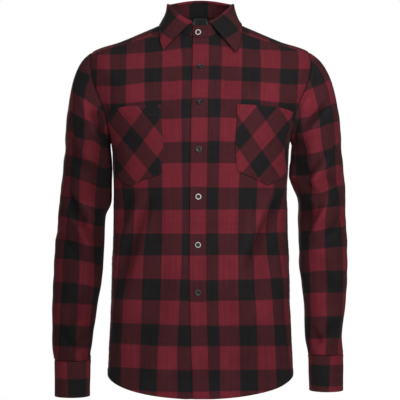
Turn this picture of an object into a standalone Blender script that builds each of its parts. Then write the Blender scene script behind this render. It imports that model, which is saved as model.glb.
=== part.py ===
"""A buttoned flannel shirt as worn, hollow, with each cut and sewn piece as its own closed wall of cloth.

Z is up, -Y is the front, +X is the wearer's left. The origin is at the base of the neck, between the
shoulders that carry the shirt. Tables hold millimetres, and the meshes are built in metres.
"""

import math

import bmesh
import bpy
import numpy as np

MM = 0.001

# Cloth, seams and trims
CLOTH = 1.5 * MM
BAND_CLOTH = 2.1 * MM
COLLAR_CLOTH = 1.8 * MM
SEAM_GAP = 0.3 * MM
LAID_GAP = 0.5 * MM
POCKET_GAP = 0.8 * MM

# Front band and the lap under it
BAND_HALF = 16.5 * MM
BAND_RISE = 0.5 * MM
LAP_EDGE = 14.5 * MM
LAP_BLEND = 14.0 * MM

# The front line hangs in a slight wave. Columns: height, and how far the middle of the band lies
# to the wearer's left there
FRONT_LINE = [
    (-740, 2.0),
    (-620, -2.0),
    (-517, -4.8),
    (-424, -4.8),
    (-331, -4.0),
    (-240, -3.0),
    (-150, -1.5),
    (-60, 0.5),
    (0, 1.0),
]

# Hem: height at the side seams, and how much lower the tails hang
HEM_SIDE = -682.0 * MM
FRONT_TAIL = 40.0 * MM
BACK_TAIL = 55.0 * MM

# Armhole, as a loop over rings 4 (shoulder tip) to 8 (armpit)
TIP_RING = 4.0
ARMPIT_RING = 8.0
ARMHOLE_FRONT = math.radians(25.0)
ARMHOLE_BACK = math.radians(31.0)
YOKE_CORNER_FRONT = math.radians(28.0)
YOKE_CORNER_BACK = math.radians(74.0)

# Front seam of the yoke: its turn about the neck at the collar, and its gain for each ring outward
YOKE_SEAM_TURN = math.radians(50.0)
YOKE_SEAM_GAIN = math.radians(6.7)

# Mesh counts
SIDE_ROWS = 15
FRONT_ARM_ROWS = 10
BACK_ARM_ROWS = 8
YOKE_ARM_STEPS_FRONT = 2
YOKE_ARM_STEPS_BACK = 6
NECK_STEPS = 3
SEAM_STEPS = 6
BACK_STEPS = 18
CAP_ROWS = 7
TUBE_ROWS = 15
LEAF_STEPS = 14
CUFF_STEPS = 30
STAND_STEPS = 40

# How far the yoke's points at the neck follow the angles of its outer edge, against even spacing
FAN_SHARE = 0.6

# Buttons
BUTTON_RADIUS = 5.8 * MM
BUTTON_HEIGHT = 2.4 * MM
BUTTON_SIDES = 14

# Half section of a button, from the middle of its back to the middle of its dish. Columns: share of the
# radius and share of the height
BUTTON_PROFILE = [
    (0.0, 0.0),
    (0.72, 0.0),
    (1.0, 0.42),
    (0.93, 1.0),
    (0.74, 1.0),
    (0.58, 0.66),
    (0.0, 0.60),
]
FRONT_BUTTON_HEIGHTS = [-76.8, -149.6, -240.0, -331.3, -424.4, -516.7]
NECK_BUTTON_HEIGHT = -7.0
NECK_BUTTON_TURN = math.radians(-4.0)

# Rings of the body, from the neck seam out over the shoulders and down to the tails. Columns: half width,
# y of the widest place, reach to the front, reach to the back, height at the front, at the side and at
# the back, and fullness (1 is an ellipse, less is squarer)
BODY_RINGS = [
    (68, 18, 60, 62, -18, 20, 36, 1.00),
    (84, 17, 66, 70, -32, 12, 25, 1.00),
    (116, 14, 70, 84, -56, -2, 2, 1.00),
    (160, 10, 88, 100, -88, -21, -37, 1.00),
    (217, 6, 108, 112, -124, -43, -87, 1.00),
    (230, 3, 119, 119, -152, -88, -130, 0.98),
    (216, 1, 126, 122, -180, -135, -168, 0.94),
    (196, 0, 129, 122, -208, -182, -204, 0.90),
    (179, 0, 130, 120, -236, -220, -237, 0.88),
    (175, 0, 129, 118, -274, -272, -274, 0.87),
    (173, 0, 126, 115, -318, -318, -318, 0.86),
    (173, 0, 123, 111, -370, -370, -370, 0.86),
    (175, 0, 120, 107, -430, -430, -430, 0.86),
    (177, 0, 119, 106, -496, -496, -496, 0.86),
    (179, 0, 119, 108, -564, -564, -564, 0.86),
    (182, 0, 120, 111, -632, -632, -632, 0.86),
    (185, 0, 121, 114, -694, -694, -694, 0.86),
    (187, 0, 122, 116, -752, -752, -752, 0.86),
]
LAST_RING = len(BODY_RINGS) - 1.0
RING_MARGIN = 0.02

# Rings of the collar stand, at its foot and its top, in the columns of the body's rings
STAND_FOOT = (68, 18, 60, 62, -17.5, 20.5, 36.5, 1.00)
STAND_TOP = (64, 19, 56, 58, 7, 50, 64, 1.00)
STAND_LAP = math.radians(14.0)
STAND_UNDER = 2.6
LEAF_START = math.radians(14.5)
LEAF_LIFT = 2.6 * MM
LEAF_GAP = 0.7 * MM
LEAF_RISE = 2.2 * MM
LEAF_SWELL = 1.8 * MM
ROLL = 2.6 * MM

# Outer edge of the collar leaf on the body. Columns: degrees from the front, and ring outward
LEAF_EDGE = [
    (34.5, 2.30),
    (44.0, 1.95),
    (54.0, 1.62),
    (68.0, 1.28),
    (88.0, 1.02),
    (120.0, 0.96),
    (180.0, 0.96),
]
LEAF_POINT_TURN = {"left": math.radians(32.5), "right": math.radians(36.0)}

# Sections of each sleeve below the armpit. Columns: height, outer and inner reach from the middle of the
# shirt, y of the middle, and half depth
SLEEVE_SECTIONS = {
    "right": [
        (-235, 272, 181, 6, 71),
        (-290, 276, 178, 7, 67),
        (-342, 282, 178, 7, 63),
        (-372, 286, 190, 5, 60),
        (-414, 289, 191, 2, 58),
        (-462, 292, 193, -4, 55),
        (-509, 294, 198, -11, 52),
        (-557, 295, 206, -19, 49),
        (-604, 294, 213, -28, 46),
        (-637, 292, 216.5, -35, 43),
        (-653, 288, 217, -38, 40.5),
    ],
    "left": [
        (-235, 283, 181, 6, 71),
        (-290, 287, 179, 7, 67),
        (-314, 289, 185, 7, 65),
        (-338, 290, 194, 6, 63),
        (-378, 291, 195, 5, 60),
        (-426, 293, 196, 1, 57),
        (-470, 293, 197, -5, 54.5),
        (-512, 292, 202, -12, 52),
        (-556, 287, 206, -19, 49),
        (-604, 280, 207, -28, 46),
        (-642, 282, 213, -36, 40.5),
    ],
}
CAP_FULLNESS = {"right": 0.74, "left": 0.86}
CAP_FALL = 1.12
FREE_ROWS_SEAM = 3.0
FREE_ROWS_CUFF = 2.0
CUFF_HEIGHT = 70.0 * MM
CUFF_LEAN = -12.0 * MM
CUFF_STEP = 0.3 * MM
CUFF_TAPER = 1.2 * MM
CUFF_CLOTH = 2.2 * MM
CUFF_OPENING = math.radians(-62.0)
CUFF_LAP = math.radians(22.0)
PLACKET_LENGTH = 130.0 * MM
PLACKET_HALF = 10.0 * MM
PLACKET_POINT = 3.5 * MM
PLACKET_ROWS = 8
PLACKET_GAP = 0.8 * MM
PLACKET_CLOTH = 1.1 * MM
WRIST_RADIUS = 48.0 * MM

# Largest folds of the body, as seen square on. Columns: half, x and z of the upper end, x and z of the
# lower end, reach to each side, and depth
BODY_FOLDS = [
    ("front", 150, -330, 100, -456, 15, 5.0),
    ("front", 128, -330, 120, -560, 20, 2.5),
    ("front", -122, -330, -166, -500, 17, 4.0),
    ("front", -70, -420, -96, -640, 24, 2.5),
    ("front", 70, -520, 84, -690, 26, 2.5),
    ("back", 74, -330, 58, -650, 26, 5.0),
    ("back", -80, -340, -60, -660, 26, 5.0),
    ("back", 142, -260, 112, -480, 18, 3.5),
    ("back", -142, -270, -116, -500, 18, 3.5),
]

# Folds of the sleeves. Columns: degrees round the sleeve from its outside over the front, how far round
# it spreads, height, slant for each quarter turn, reach and depth
SLEEVE_FOLDS = {
    "right": [
        (75, 60, -190, 60, 16, 4.0),
        (60, 70, -372, 40, 15, 3.5),
        (115, 60, -428, -40, 16, 4.0),
        (90, 70, -560, 30, 16, 3.0),
        (250, 60, -400, 30, 18, 4.0),
        (270, 60, -500, -30, 18, 3.0),
    ],
    "left": [
        (80, 60, -180, 60, 16, 4.0),
        (110, 60, -300, 50, 15, 3.5),
        (95, 60, -395, 50, 15, 4.0),
        (80, 70, -540, -30, 16, 3.0),
        (255, 60, -410, 30, 18, 4.0),
        (270, 60, -520, -30, 18, 3.0),
    ],
}

# Patch pockets, as seen square on. Columns: inner edge, outer edge at the top and at the foot, height of
# the top at the inner and the outer edge, of the foot at the inner and the outer edge, and of the point
POCKETS = {
    "left": (70, 181, 167, -153, -166, -282, -288, -303),
    "right": (76, 183, 169, -154, -166, -288, -292, -305),
}
POCKET_CLOTH = 1.2 * MM
POCKET_STEPS = 10
POCKET_ROWS = 8

# Neck label: half width, and the rings between which it hangs
LABEL_HALF_TURN = math.radians(11.0)
LABEL_RINGS = (0.12, 1.25)
LABEL_GAP = 1.1 * MM
LABEL_CLOTH = 0.7 * MM

COLOURS = {
    "red_check": (0.15, 0.02, 0.03),
    "button": (0.01, 0.01, 0.012),
    "label": (0.02, 0.02, 0.022),
}


def clear_scene():
    for thing in list(bpy.data.objects):
        bpy.data.objects.remove(thing, do_unlink=True)


def material(name, roughness, metallic=0.0):
    made = bpy.data.materials.get(name)
    if made is None:
        made = bpy.data.materials.new(name)
        made.use_nodes = True
        shader = made.node_tree.nodes["Principled BSDF"]
        shader.inputs["Base Color"].default_value = (*COLOURS[name], 1.0)
        shader.inputs["Roughness"].default_value = roughness
        shader.inputs["Metallic"].default_value = metallic
    return made


def smooth_between(table, at):
    """Rows of a table, one for each whole step, read at any step in between with a Catmull-Rom curve."""
    rows = np.asarray(table, float)
    at = np.clip(np.asarray(at, float), 0.0, len(rows) - 1.0)
    low = np.minimum(np.floor(at).astype(int), len(rows) - 2)
    part = (at - low)[..., None]
    before = rows[np.maximum(low - 1, 0)]
    start = rows[low]
    end = rows[low + 1]
    after = rows[np.minimum(low + 2, len(rows) - 1)]
    lead = 0.5 * (end - before)
    trail = 0.5 * (after - start)
    turn = 3.0 * (end - start) - 2.0 * lead - trail
    bend = 2.0 * (start - end) + lead + trail
    return start + part * (lead + part * (turn + part * bend))


def signed_power(value, power):
    return np.sign(value) * np.abs(value) ** power


def ring_point(rows, turn):
    """Points on rings of the body. The turn is 0 at the front and a quarter at the wearer's left."""
    half_width, mid, front, back, z_front, z_side, z_back = np.moveaxis(rows[..., :-1] * MM, -1, 0)
    ahead = np.cos(turn)
    depth = np.where(ahead >= 0.0, front, back)
    level = np.where(ahead >= 0.0, z_front, z_back)
    x = half_width * np.sin(turn)
    y = mid - depth * signed_power(ahead, rows[..., -1])
    z = z_side + (level - z_side) * ahead**2
    return np.stack([x, y, z], axis=-1)


def fold_depth(point, front_half):
    """How far the folds of the body draw a point inward."""
    total = np.zeros(point.shape[:-1])
    for side, x_top, z_top, x_foot, z_foot, reach, depth in BODY_FOLDS:
        top = np.array([x_top, z_top]) * MM
        line = np.array([x_foot, z_foot]) * MM - top
        away = point[..., [0, 2]] - top
        along = (away @ line) / (line @ line)
        across = (away[..., 0] * line[1] - away[..., 1] * line[0]) / np.linalg.norm(line)
        swell = np.clip(np.minimum(along + 0.15, 1.15 - along) / 0.4, 0.0, 1.0)
        swell = swell * swell * (3.0 - 2.0 * swell)
        held = front_half if side == "front" else 1.0 - front_half
        total += depth * MM * held * swell * np.exp(-((across / (reach * MM)) ** 2))
    return total


def plain_body(turn, ring):
    return ring_point(smooth_between(BODY_RINGS, ring), turn)


def surface_normal(function, first, second, step=2e-3):
    """Normal of a surface in two parameters, from its slope along each."""
    along = function(first + step, second) - function(first - step, second)
    across = function(first, second + step) - function(first, second - step)
    normal = np.cross(along, across)
    return normal / np.linalg.norm(normal, axis=-1, keepdims=True)


def body_point(turn, ring):
    turn, ring = np.broadcast_arrays(np.asarray(turn, float), np.asarray(ring, float))
    point = plain_body(turn, ring)
    out = -surface_normal(plain_body, turn, np.clip(ring, RING_MARGIN, LAST_RING - RING_MARGIN))
    front_half = np.clip(0.5 + 4.0 * np.cos(turn), 0.0, 1.0)
    return point - fold_depth(point, front_half)[..., None] * out


def body_normal(turn, ring):
    return -surface_normal(body_point, turn, np.clip(ring, RING_MARGIN, LAST_RING - RING_MARGIN))


def place_on_body(x, z, back=False):
    """The turn and ring where the body is at x and z, seen square on from the front or the back."""
    rings = np.linspace(0.0, LAST_RING, 1600)
    half = smooth_between(BODY_RINGS, rings)[:, 0] * MM
    turns = np.arcsin(np.clip(x / half, -1.0, 1.0))
    if back:
        turns = math.pi - turns
    heights = plain_body(turns, rings)[:, 2]
    crossed = (heights[:-1] >= z) & (heights[1:] < z) & (half[1:] > abs(x))
    low = int(np.flatnonzero(crossed)[-1])
    part = (heights[low] - z) / (heights[low] - heights[low + 1])
    return np.array([turns[low] + part * (turns[low + 1] - turns[low]), rings[low] + part * rings[1]])


def ring_at_height(turn, height):
    """The ring whose point at this turn has this height, on the part of the body below the armpit."""
    rings = np.linspace(ARMPIT_RING, LAST_RING, 400)
    heights = plain_body(np.full_like(rings, turn), rings)[:, 2]
    return float(np.interp(-height, -heights, rings))


def hem_height(turn):
    tail = FRONT_TAIL if math.cos(turn) >= 0.0 else BACK_TAIL
    return HEM_SIDE - tail * abs(math.cos(turn))


def armhole_place(way):
    """Turn and ring of the left armhole seam; way is 0 at the shoulder tip and pi at the armpit."""
    bulge = ARMHOLE_FRONT if math.sin(way) >= 0.0 else ARMHOLE_BACK
    turn = 0.5 * math.pi - bulge * math.sin(way)
    ring = TIP_RING + (ARMPIT_RING - TIP_RING) * 0.5 * (1.0 - math.cos(way))
    return turn, ring


def armhole_ways():
    """Where the armhole seam has its points, from the front corner of the yoke down, round and back up."""
    front = np.linspace(YOKE_CORNER_FRONT, math.pi, FRONT_ARM_ROWS + 1)
    back = np.linspace(math.pi, 2.0 * math.pi - YOKE_CORNER_BACK, BACK_ARM_ROWS + 1)
    over_back = np.linspace(2.0 * math.pi - YOKE_CORNER_BACK, 2.0 * math.pi, YOKE_ARM_STEPS_BACK + 1)
    over_front = np.linspace(2.0 * math.pi, 2.0 * math.pi + YOKE_CORNER_FRONT, YOKE_ARM_STEPS_FRONT + 1)
    return front, back, np.concatenate([over_back, over_front[1:]])


def resample(places, count):
    """The same path through turn and ring, with its points evenly spaced by length."""
    places = np.asarray(places, float)
    points = plain_body(places[:, 0], places[:, 1])
    length = np.concatenate([[0.0], np.cumsum(np.linalg.norm(np.diff(points, axis=0), axis=1))])
    wanted = np.linspace(0.0, length[-1], count + 1)
    return np.stack([np.interp(wanted, length, places[:, k]) for k in range(2)], axis=-1)


def straight(start, end, count=40):
    return np.linspace(np.asarray(start, float), np.asarray(end, float), count + 1)


def patch(bottom, top, left, right):
    """A Coons patch between four paths of turn and ring; rows run from bottom to top."""
    columns = np.linspace(0.0, 1.0, len(bottom))[None, :, None]
    rows = np.linspace(0.0, 1.0, len(left))[:, None, None]
    between_rows = (1.0 - rows) * bottom[None] + rows * top[None]
    between_columns = (1.0 - columns) * left[:, None] + columns * right[:, None]
    corners = (1.0 - rows) * ((1.0 - columns) * bottom[0] + columns * bottom[-1])
    corners = corners + rows * ((1.0 - columns) * top[0] + columns * top[-1])
    return between_rows + between_columns - corners


def draw_in(grid, sides, by=0.5 * SEAM_GAP):
    """Moves the named edges of a grid of points a little into the piece, to leave its seams open by a gap."""
    moved = grid.copy()
    edges = {
        "bottom": ((0,), (1,)),
        "top": ((-1,), (-2,)),
        "left": ((slice(None), 0), (slice(None), 1)),
        "right": ((slice(None), -1), (slice(None), -2)),
    }
    for side in sides:
        edge, inside = edges[side]
        way = grid[inside] - grid[edge]
        moved[edge] += by * way / np.linalg.norm(way, axis=-1, keepdims=True)
    return moved


def join_lines(mesh, first, second):
    """Faces between two lines of corners of the same length."""
    for start in range(len(first) - 1):
        mesh.faces.new([first[start], first[start + 1], second[start + 1], second[start]])


def wall(name, outer, inner, finish, round_way=False):
    """A closed wall between two grids of points, with its rims, as a named object."""
    mesh = bmesh.new()
    skins = []
    for grid in (outer, inner):
        lines = [[mesh.verts.new(point) for point in row] for row in grid]
        skins.append([line + line[:1] for line in lines] if round_way else lines)
    for skin in skins:
        for upper, lower in zip(skin, skin[1:]):
            join_lines(mesh, upper, lower)
    for end in (0, -1):
        join_lines(mesh, skins[0][end], skins[1][end])
        if not round_way:
            join_lines(mesh, [line[end] for line in skins[0]], [line[end] for line in skins[1]])
    bmesh.ops.recalc_face_normals(mesh, faces=mesh.faces)
    return finish_object(name, mesh, finish)


def finish_object(name, mesh, finish):
    data = bpy.data.meshes.new(name)
    mesh.to_mesh(data)
    mesh.free()
    data.materials.append(finish)
    data.shade_smooth()
    data.set_sharp_from_angle(angle=math.radians(50.0))
    made = bpy.data.objects.new(name, data)
    bpy.context.scene.collection.objects.link(made)
    return made


def panel(name, places, finish, gaps, thickness=CLOTH, rise=None):
    """A piece of body cloth over a grid of turns and rings, raised or sunk by rise where it is given."""
    outer = body_point(places[..., 0], places[..., 1])
    out = body_normal(places[..., 0], places[..., 1])
    if rise is not None:
        outer = outer + rise[..., None] * out
    inner = outer - thickness * out
    return wall(name, draw_in(outer, gaps), draw_in(inner, gaps), finish)


def mirrored(places):
    """The same places on the wearer's other side."""
    other = places.copy()
    other[..., 0] = -other[..., 0]
    return other


def front_drift(height):
    """How far the middle of the front band lies to the wearer's left at this height."""
    rows = np.asarray(FRONT_LINE) * MM
    return float(np.interp(height, rows[:, 0], rows[:, 1]))


def centre_turn(offset, ring):
    """The turn on a ring at this distance from the middle of the front band."""
    height = plain_body(0.0, ring)[2]
    return math.asin((offset + front_drift(height)) / (smooth_between(BODY_RINGS, ring)[0] * MM))


def centre_path(offset, count_low, count_high):
    """Places down the front at a fixed distance from the middle of the band, from the hem up to the neck."""
    low_ring = ring_at_height(0.0, hem_height(0.0))
    low_rings = np.linspace(low_ring, ARMPIT_RING, 4 * count_low + 1)
    high_rings = np.linspace(ARMPIT_RING, 0.0, 4 * count_high + 1)
    low = resample([(centre_turn(offset, ring), ring) for ring in low_rings], count_low)
    high = resample([(centre_turn(offset, ring), ring) for ring in high_rings], count_high)
    return np.concatenate([low, high[1:]])


def side_seam():
    low = ring_at_height(0.5 * math.pi, hem_height(0.5 * math.pi))
    return resample([(0.5 * math.pi, ring) for ring in np.linspace(low, ARMPIT_RING, 60)], SIDE_ROWS)


def hem_path(start_turn, end_turn, count):
    turns = np.linspace(start_turn, end_turn, 60)
    return resample([(turn, ring_at_height(turn, hem_height(turn))) for turn in turns], count)


def yoke_front_corner():
    return np.array(armhole_place(YOKE_CORNER_FRONT))


def yoke_seam(count):
    """The front seam of the yoke, from the neck out to the armhole."""
    end = yoke_front_corner()
    rings = np.linspace(0.0, end[1], 40)
    turns = YOKE_SEAM_TURN + YOKE_SEAM_GAIN * rings
    turns += (end[0] - turns[-1]) * rings / end[1]
    return resample(np.stack([turns, rings], axis=-1), count)


def front_places(side, offsets):
    """Turns and rings of one front, from its centre edge to the side seam and armhole.

    Each offset gives a column at that distance from the middle of the band. The last of them starts
    the patch that fills the rest, which is cut as on the left and turned over for the right.
    """
    columns = [centre_path(offset, SIDE_ROWS, FRONT_ARM_ROWS) for offset in offsets]
    left = columns[-1] if side == "left" else mirrored(columns[-1])
    armhole = np.array([armhole_place(way) for way in armhole_ways()[0][::-1]])
    right = np.concatenate([side_seam(), armhole[1:]])
    neck = resample(straight(left[-1], (YOKE_SEAM_TURN, 0.0)), NECK_STEPS)
    top = np.concatenate([neck, yoke_seam(SEAM_STEPS)[1:]])
    bottom = hem_path(left[0][0], 0.5 * math.pi, NECK_STEPS + SEAM_STEPS)
    rest = patch(bottom, top, left, right)
    rest = rest if side == "left" else mirrored(rest)
    return np.concatenate([column[:, None] for column in columns[:-1]] + [rest], axis=1)


def make_fronts(finish):
    panel("front_left", front_places("left", [BAND_HALF]), finish, ("left", "right", "top"))
    under_offsets = (LAP_EDGE, 0.0, -BAND_HALF, -BAND_HALF - LAP_BLEND)
    places = front_places("right", under_offsets)
    rise = np.zeros(places.shape[:2])
    rise[:, :3] = -(BAND_CLOTH - BAND_RISE + LAID_GAP)
    panel("front_right", places, finish, ("right", "top"), rise=rise)


def make_front_band(finish):
    edges = [centre_path(x, SIDE_ROWS, FRONT_ARM_ROWS) for x in (-BAND_HALF, 0.0, BAND_HALF - SEAM_GAP)]
    places = np.stack(edges, axis=1)
    rise = np.full(places.shape[:2], BAND_RISE)
    panel("front_band", places, finish, ("top",), thickness=BAND_CLOTH, rise=rise)


def make_back(finish):
    back_ways = armhole_ways()[1]
    armhole = np.array([armhole_place(way) for way in back_ways])
    right = np.concatenate([side_seam(), armhole[1:]])
    left = right.copy()
    left[:, 0] = 2.0 * math.pi - left[:, 0]
    bottom = hem_path(0.5 * math.pi, 1.5 * math.pi, BACK_STEPS)
    top = back_yoke_seam()
    panel("back_panel", patch(bottom, top, right, left), finish, ("left", "right", "top"))


def back_yoke_seam():
    """The level seam across the back under the yoke, from the left armhole to the right."""
    turn, ring = armhole_place(2.0 * math.pi - YOKE_CORNER_BACK)
    corner = plain_body(turn, ring)
    half = []
    for x in np.linspace(corner[0], 0.0, 30):
        half.append(place_on_body(x, corner[2], back=True) if x < corner[0] else (turn, ring))
    half = np.array(half)
    other = half[::-1][1:].copy()
    other[:, 0] = 2.0 * math.pi - other[:, 0]
    return resample(np.concatenate([half, other]), BACK_STEPS)


def make_yoke(finish):
    """The yoke runs from the left front seam over the shoulder and the back to the right front seam."""
    over = armhole_ways()[2][::-1]
    left_arm = np.array([armhole_place(way) for way in over])
    right_arm = left_arm[::-1].copy()
    right_arm[:, 0] = 2.0 * math.pi - right_arm[:, 0]
    outer = np.concatenate([left_arm, back_yoke_seam()[1:-1], right_arm])
    share = np.linspace(0.0, 1.0, 80)
    turns = YOKE_SEAM_TURN + share * 2.0 * (math.pi - YOKE_SEAM_TURN)
    neck = neck_steps_like(outer, np.stack([turns, np.zeros_like(share)], axis=-1))
    left = yoke_seam(SEAM_STEPS)[::-1]
    right = left.copy()
    right[:, 0] = 2.0 * math.pi - right[:, 0]
    places = patch(outer, neck, left, right)
    panel("yoke", places, finish, ("left", "right", "top", "bottom"))


def neck_steps_like(outer, neck):
    """Points along the neck seam, spaced much as the angles of the outer edge, so the rows fan out."""
    points = plain_body(outer[:, 0], outer[:, 1])
    neck_middle = BODY_RINGS[0][1] * MM
    angles = np.unwrap(np.arctan2(points[:, 0], -(points[:, 1] - neck_middle)))
    fanned = (angles - angles[0]) / (angles[-1] - angles[0])
    even = np.linspace(0.0, 1.0, len(outer))
    share = FAN_SHARE * fanned + (1.0 - FAN_SHARE) * even
    grid = np.linspace(0.0, 1.0, len(neck))
    return np.stack([np.interp(share, grid, neck[:, k]) for k in range(2)], axis=-1)


def sleeve_section(side, station):
    return smooth_between(SLEEVE_SECTIONS[side], station) * MM


def tube_point(side, way, station):
    """Points of the sleeve below the armpit; way is 0 on its outside, a quarter at the front."""
    z, outer, inner, mid, depth = np.moveaxis(sleeve_section(side, station), -1, 0)
    centre = 0.5 * (outer + inner)
    half = 0.5 * (outer - inner)
    x = centre + half * signed_power(np.cos(way), 0.92)
    y = mid - depth * signed_power(np.sin(way), 0.92)
    return np.stack([x, y, z + 0.0 * x], axis=-1)


def sleeve_fold_depth(side, way, height):
    total = np.zeros(np.broadcast(way, height).shape)
    for turn, spread, z, slant, reach, depth in SLEEVE_FOLDS[side]:
        apart = (np.degrees(way) - turn + 180.0) % 360.0 - 180.0
        level = z + slant * apart / 90.0
        near = np.exp(-((apart / spread) ** 2)) * np.exp(-(((height / MM) - level) / reach) ** 2)
        total += depth * MM * near
    return total


def cap_direction(way):
    """The way in which the sleeve leaves the armhole seam."""
    top = max(math.cos(way), 0.0) ** 2
    under = max(-math.cos(way), 0.0) ** 2
    aside = math.sin(way) ** 2
    over = np.array([0.90, 0.0, -0.43])
    beside = np.array([0.84, -0.34 * np.sign(math.sin(way)), -0.42])
    below = np.array([0.62, 0.0, -0.78])
    way_out = top * over + aside * beside + under * below
    return way_out / np.linalg.norm(way_out)


def curve_between(start, lead, end, trail, part):
    """A point on the cubic that leaves start along lead and comes to end along trail."""
    early = (2.0 * part**3 - 3.0 * part**2 + 1.0) * start + (part**3 - 2.0 * part**2 + part) * lead
    late = (3.0 * part**2 - 2.0 * part**3) * end + (part**3 - part**2) * trail
    return early + late


def sleeve_grid(side):
    """Outer points of one sleeve as on the left: rows from the armhole to the cuff, columns round it."""
    front, back, over = armhole_ways()
    ways = np.concatenate([front[:-1], back[:-1], over[:-1]])
    stations = len(SLEEVE_SECTIONS[side]) - 1.0
    seam = []
    first = tube_point(side, ways, np.zeros_like(ways))
    below = tube_point(side, ways, np.full_like(ways, 0.05)) - first
    below /= np.linalg.norm(below, axis=-1, keepdims=True)
    for way in ways:
        turn, ring = armhole_place(way)
        seam.append(body_point(turn, ring) + 0.5 * SEAM_GAP * cap_direction(way))
    seam = np.array(seam)
    out = np.array([cap_direction(way) for way in ways])
    reach = np.linalg.norm(first - seam, axis=-1, keepdims=True)
    lead = CAP_FULLNESS[side] * reach * out
    trail = CAP_FALL * reach * below
    rows = [curve_between(seam, lead, first, trail, part / CAP_ROWS) for part in range(CAP_ROWS)]
    for station in np.linspace(0.0, stations, TUBE_ROWS + 1):
        rows.append(tube_point(side, ways, np.full_like(ways, station)))
    grid = np.array(rows)
    normal = grid_normal(grid)
    depth = sleeve_fold_depth(side, ways[None], grid[..., 2])
    from_seam = np.arange(len(grid))
    to_cuff = from_seam[::-1]
    held = np.clip(from_seam / FREE_ROWS_SEAM, 0.0, 1.0) * np.clip(to_cuff / FREE_ROWS_CUFF, 0.0, 1.0)
    return grid - (held[:, None] * depth)[..., None] * normal, ways


def grid_normal(grid):
    """Outward normals of a grid that closes round its columns."""
    around = np.roll(grid, -1, axis=1) - np.roll(grid, 1, axis=1)
    down = np.gradient(grid, axis=0)
    normal = np.cross(around, down)
    normal /= np.linalg.norm(normal, axis=-1, keepdims=True)
    return normal


def to_side(points, side):
    if side == "left":
        return points
    return points * np.array([-1.0, 1.0, 1.0])


def make_sleeve(side, finish):
    outer, ways = sleeve_grid(side)
    normal = grid_normal(outer)
    seam_normal = np.array([body_normal(*armhole_place(way)) for way in ways])
    agree = np.clip((seam_normal * normal[0]).sum(-1), 0.0, 1.0)
    crest = np.clip(np.cos(ways), 0.0, 1.0)[:, None] * agree[:, None]
    normal[0] = crest * seam_normal + (1.0 - crest) * normal[0]
    normal[0] /= np.linalg.norm(normal[0], axis=-1, keepdims=True)
    inner = outer - CLOTH * normal
    wall("sleeve_" + side, to_side(outer, side), to_side(inner, side), finish, round_way=True)


def sleeve_surface(side, way, height):
    """A point on the sleeve below the armpit, with its outward normal, at a height in metres."""
    rows = np.asarray(SLEEVE_SECTIONS[side], float)
    station = np.interp(-height / MM, -rows[:, 0], np.arange(len(rows)))

    def folded(turn, place):
        point = tube_point(side, turn, place)
        centre = tube_point(side, turn + math.pi, place)
        inward = centre - point
        inward /= np.linalg.norm(inward, axis=-1, keepdims=True)
        return point + sleeve_fold_depth(side, turn, point[..., 2])[..., None] * inward

    point = folded(np.asarray(way, float), np.asarray(station, float))
    out = surface_normal(folded, np.asarray(way, float), np.asarray(station, float))
    away = point - tube_point(side, np.asarray(way) + math.pi, np.asarray(station))
    out = np.where((out * away).sum(-1, keepdims=True) < 0.0, -out, out)
    return point, out


def make_sleeve_placket(side, finish):
    foot = SLEEVE_SECTIONS[side][-1][0] * MM
    heights = np.linspace(foot + 2.0 * MM, foot + PLACKET_LENGTH, PLACKET_ROWS)
    shares = np.array([-1.0, 0.0, 1.0])
    outer = []
    inner = []
    for height in heights:
        half = PLACKET_POINT if height == heights[-1] else PLACKET_HALF
        ways = CUFF_OPENING + shares * half / WRIST_RADIUS
        point, out = sleeve_surface(side, ways, np.full_like(ways, height))
        outer.append(point + (PLACKET_GAP + PLACKET_CLOTH) * out)
        inner.append(point + PLACKET_GAP * out)
    outer = np.array(outer)
    inner = np.array(inner)
    wall("sleeve_placket_" + side, to_side(outer, side), to_side(inner, side), finish)


def cuff_rows(side):
    z, outer, inner, mid, depth = np.asarray(SLEEVE_SECTIONS[side][-1], float) * MM
    top = np.array([z - SEAM_GAP, outer + CUFF_STEP, inner - CUFF_STEP, mid, depth + CUFF_STEP])
    foot = top + np.array([-CUFF_HEIGHT, -CUFF_TAPER, CUFF_TAPER, CUFF_LEAN, -CUFF_TAPER])
    return top, foot


def cuff_point(side, way, drop, inset):
    top, foot = cuff_rows(side)
    z, outer, inner, mid, depth = top + drop * (foot - top)
    centre = 0.5 * (outer + inner)
    half = 0.5 * (outer - inner) - inset
    x = centre + half * signed_power(np.cos(way), 0.95)
    y = mid - (depth - inset) * signed_power(np.sin(way), 0.95)
    return np.stack([x, y, np.full_like(x, z)], axis=-1)


def make_cuff(side, finish):
    ways = np.linspace(CUFF_OPENING - CUFF_LAP, CUFF_OPENING + 2.0 * math.pi, CUFF_STEPS)
    from_start = (ways - ways[0]) / CUFF_LAP
    step = np.clip(2.0 - from_start, 0.0, 1.0)
    inset = (CUFF_CLOTH + LAID_GAP) * step * step * (3.0 - 2.0 * step)
    drops = np.linspace(0.0, 1.0, 4)
    outer = np.array([cuff_point(side, ways, drop, inset) for drop in drops])
    inner = np.array([cuff_point(side, ways, drop, inset + CUFF_CLOTH) for drop in drops])
    wall("cuff_" + side, to_side(outer, side), to_side(inner, side), finish)


def stand_point(turn, share, inset):
    """Points of the collar stand from its foot (share 0) to its top (share 1)."""
    rows = (1.0 - share) * np.asarray(STAND_FOOT, float) + share * np.asarray(STAND_TOP, float)
    rows = np.broadcast_to(rows, np.shape(turn) + (len(STAND_TOP),)).copy()
    for column in (0, 2, 3):
        rows[..., column] -= inset / MM
    return ring_point(rows, turn)


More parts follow.
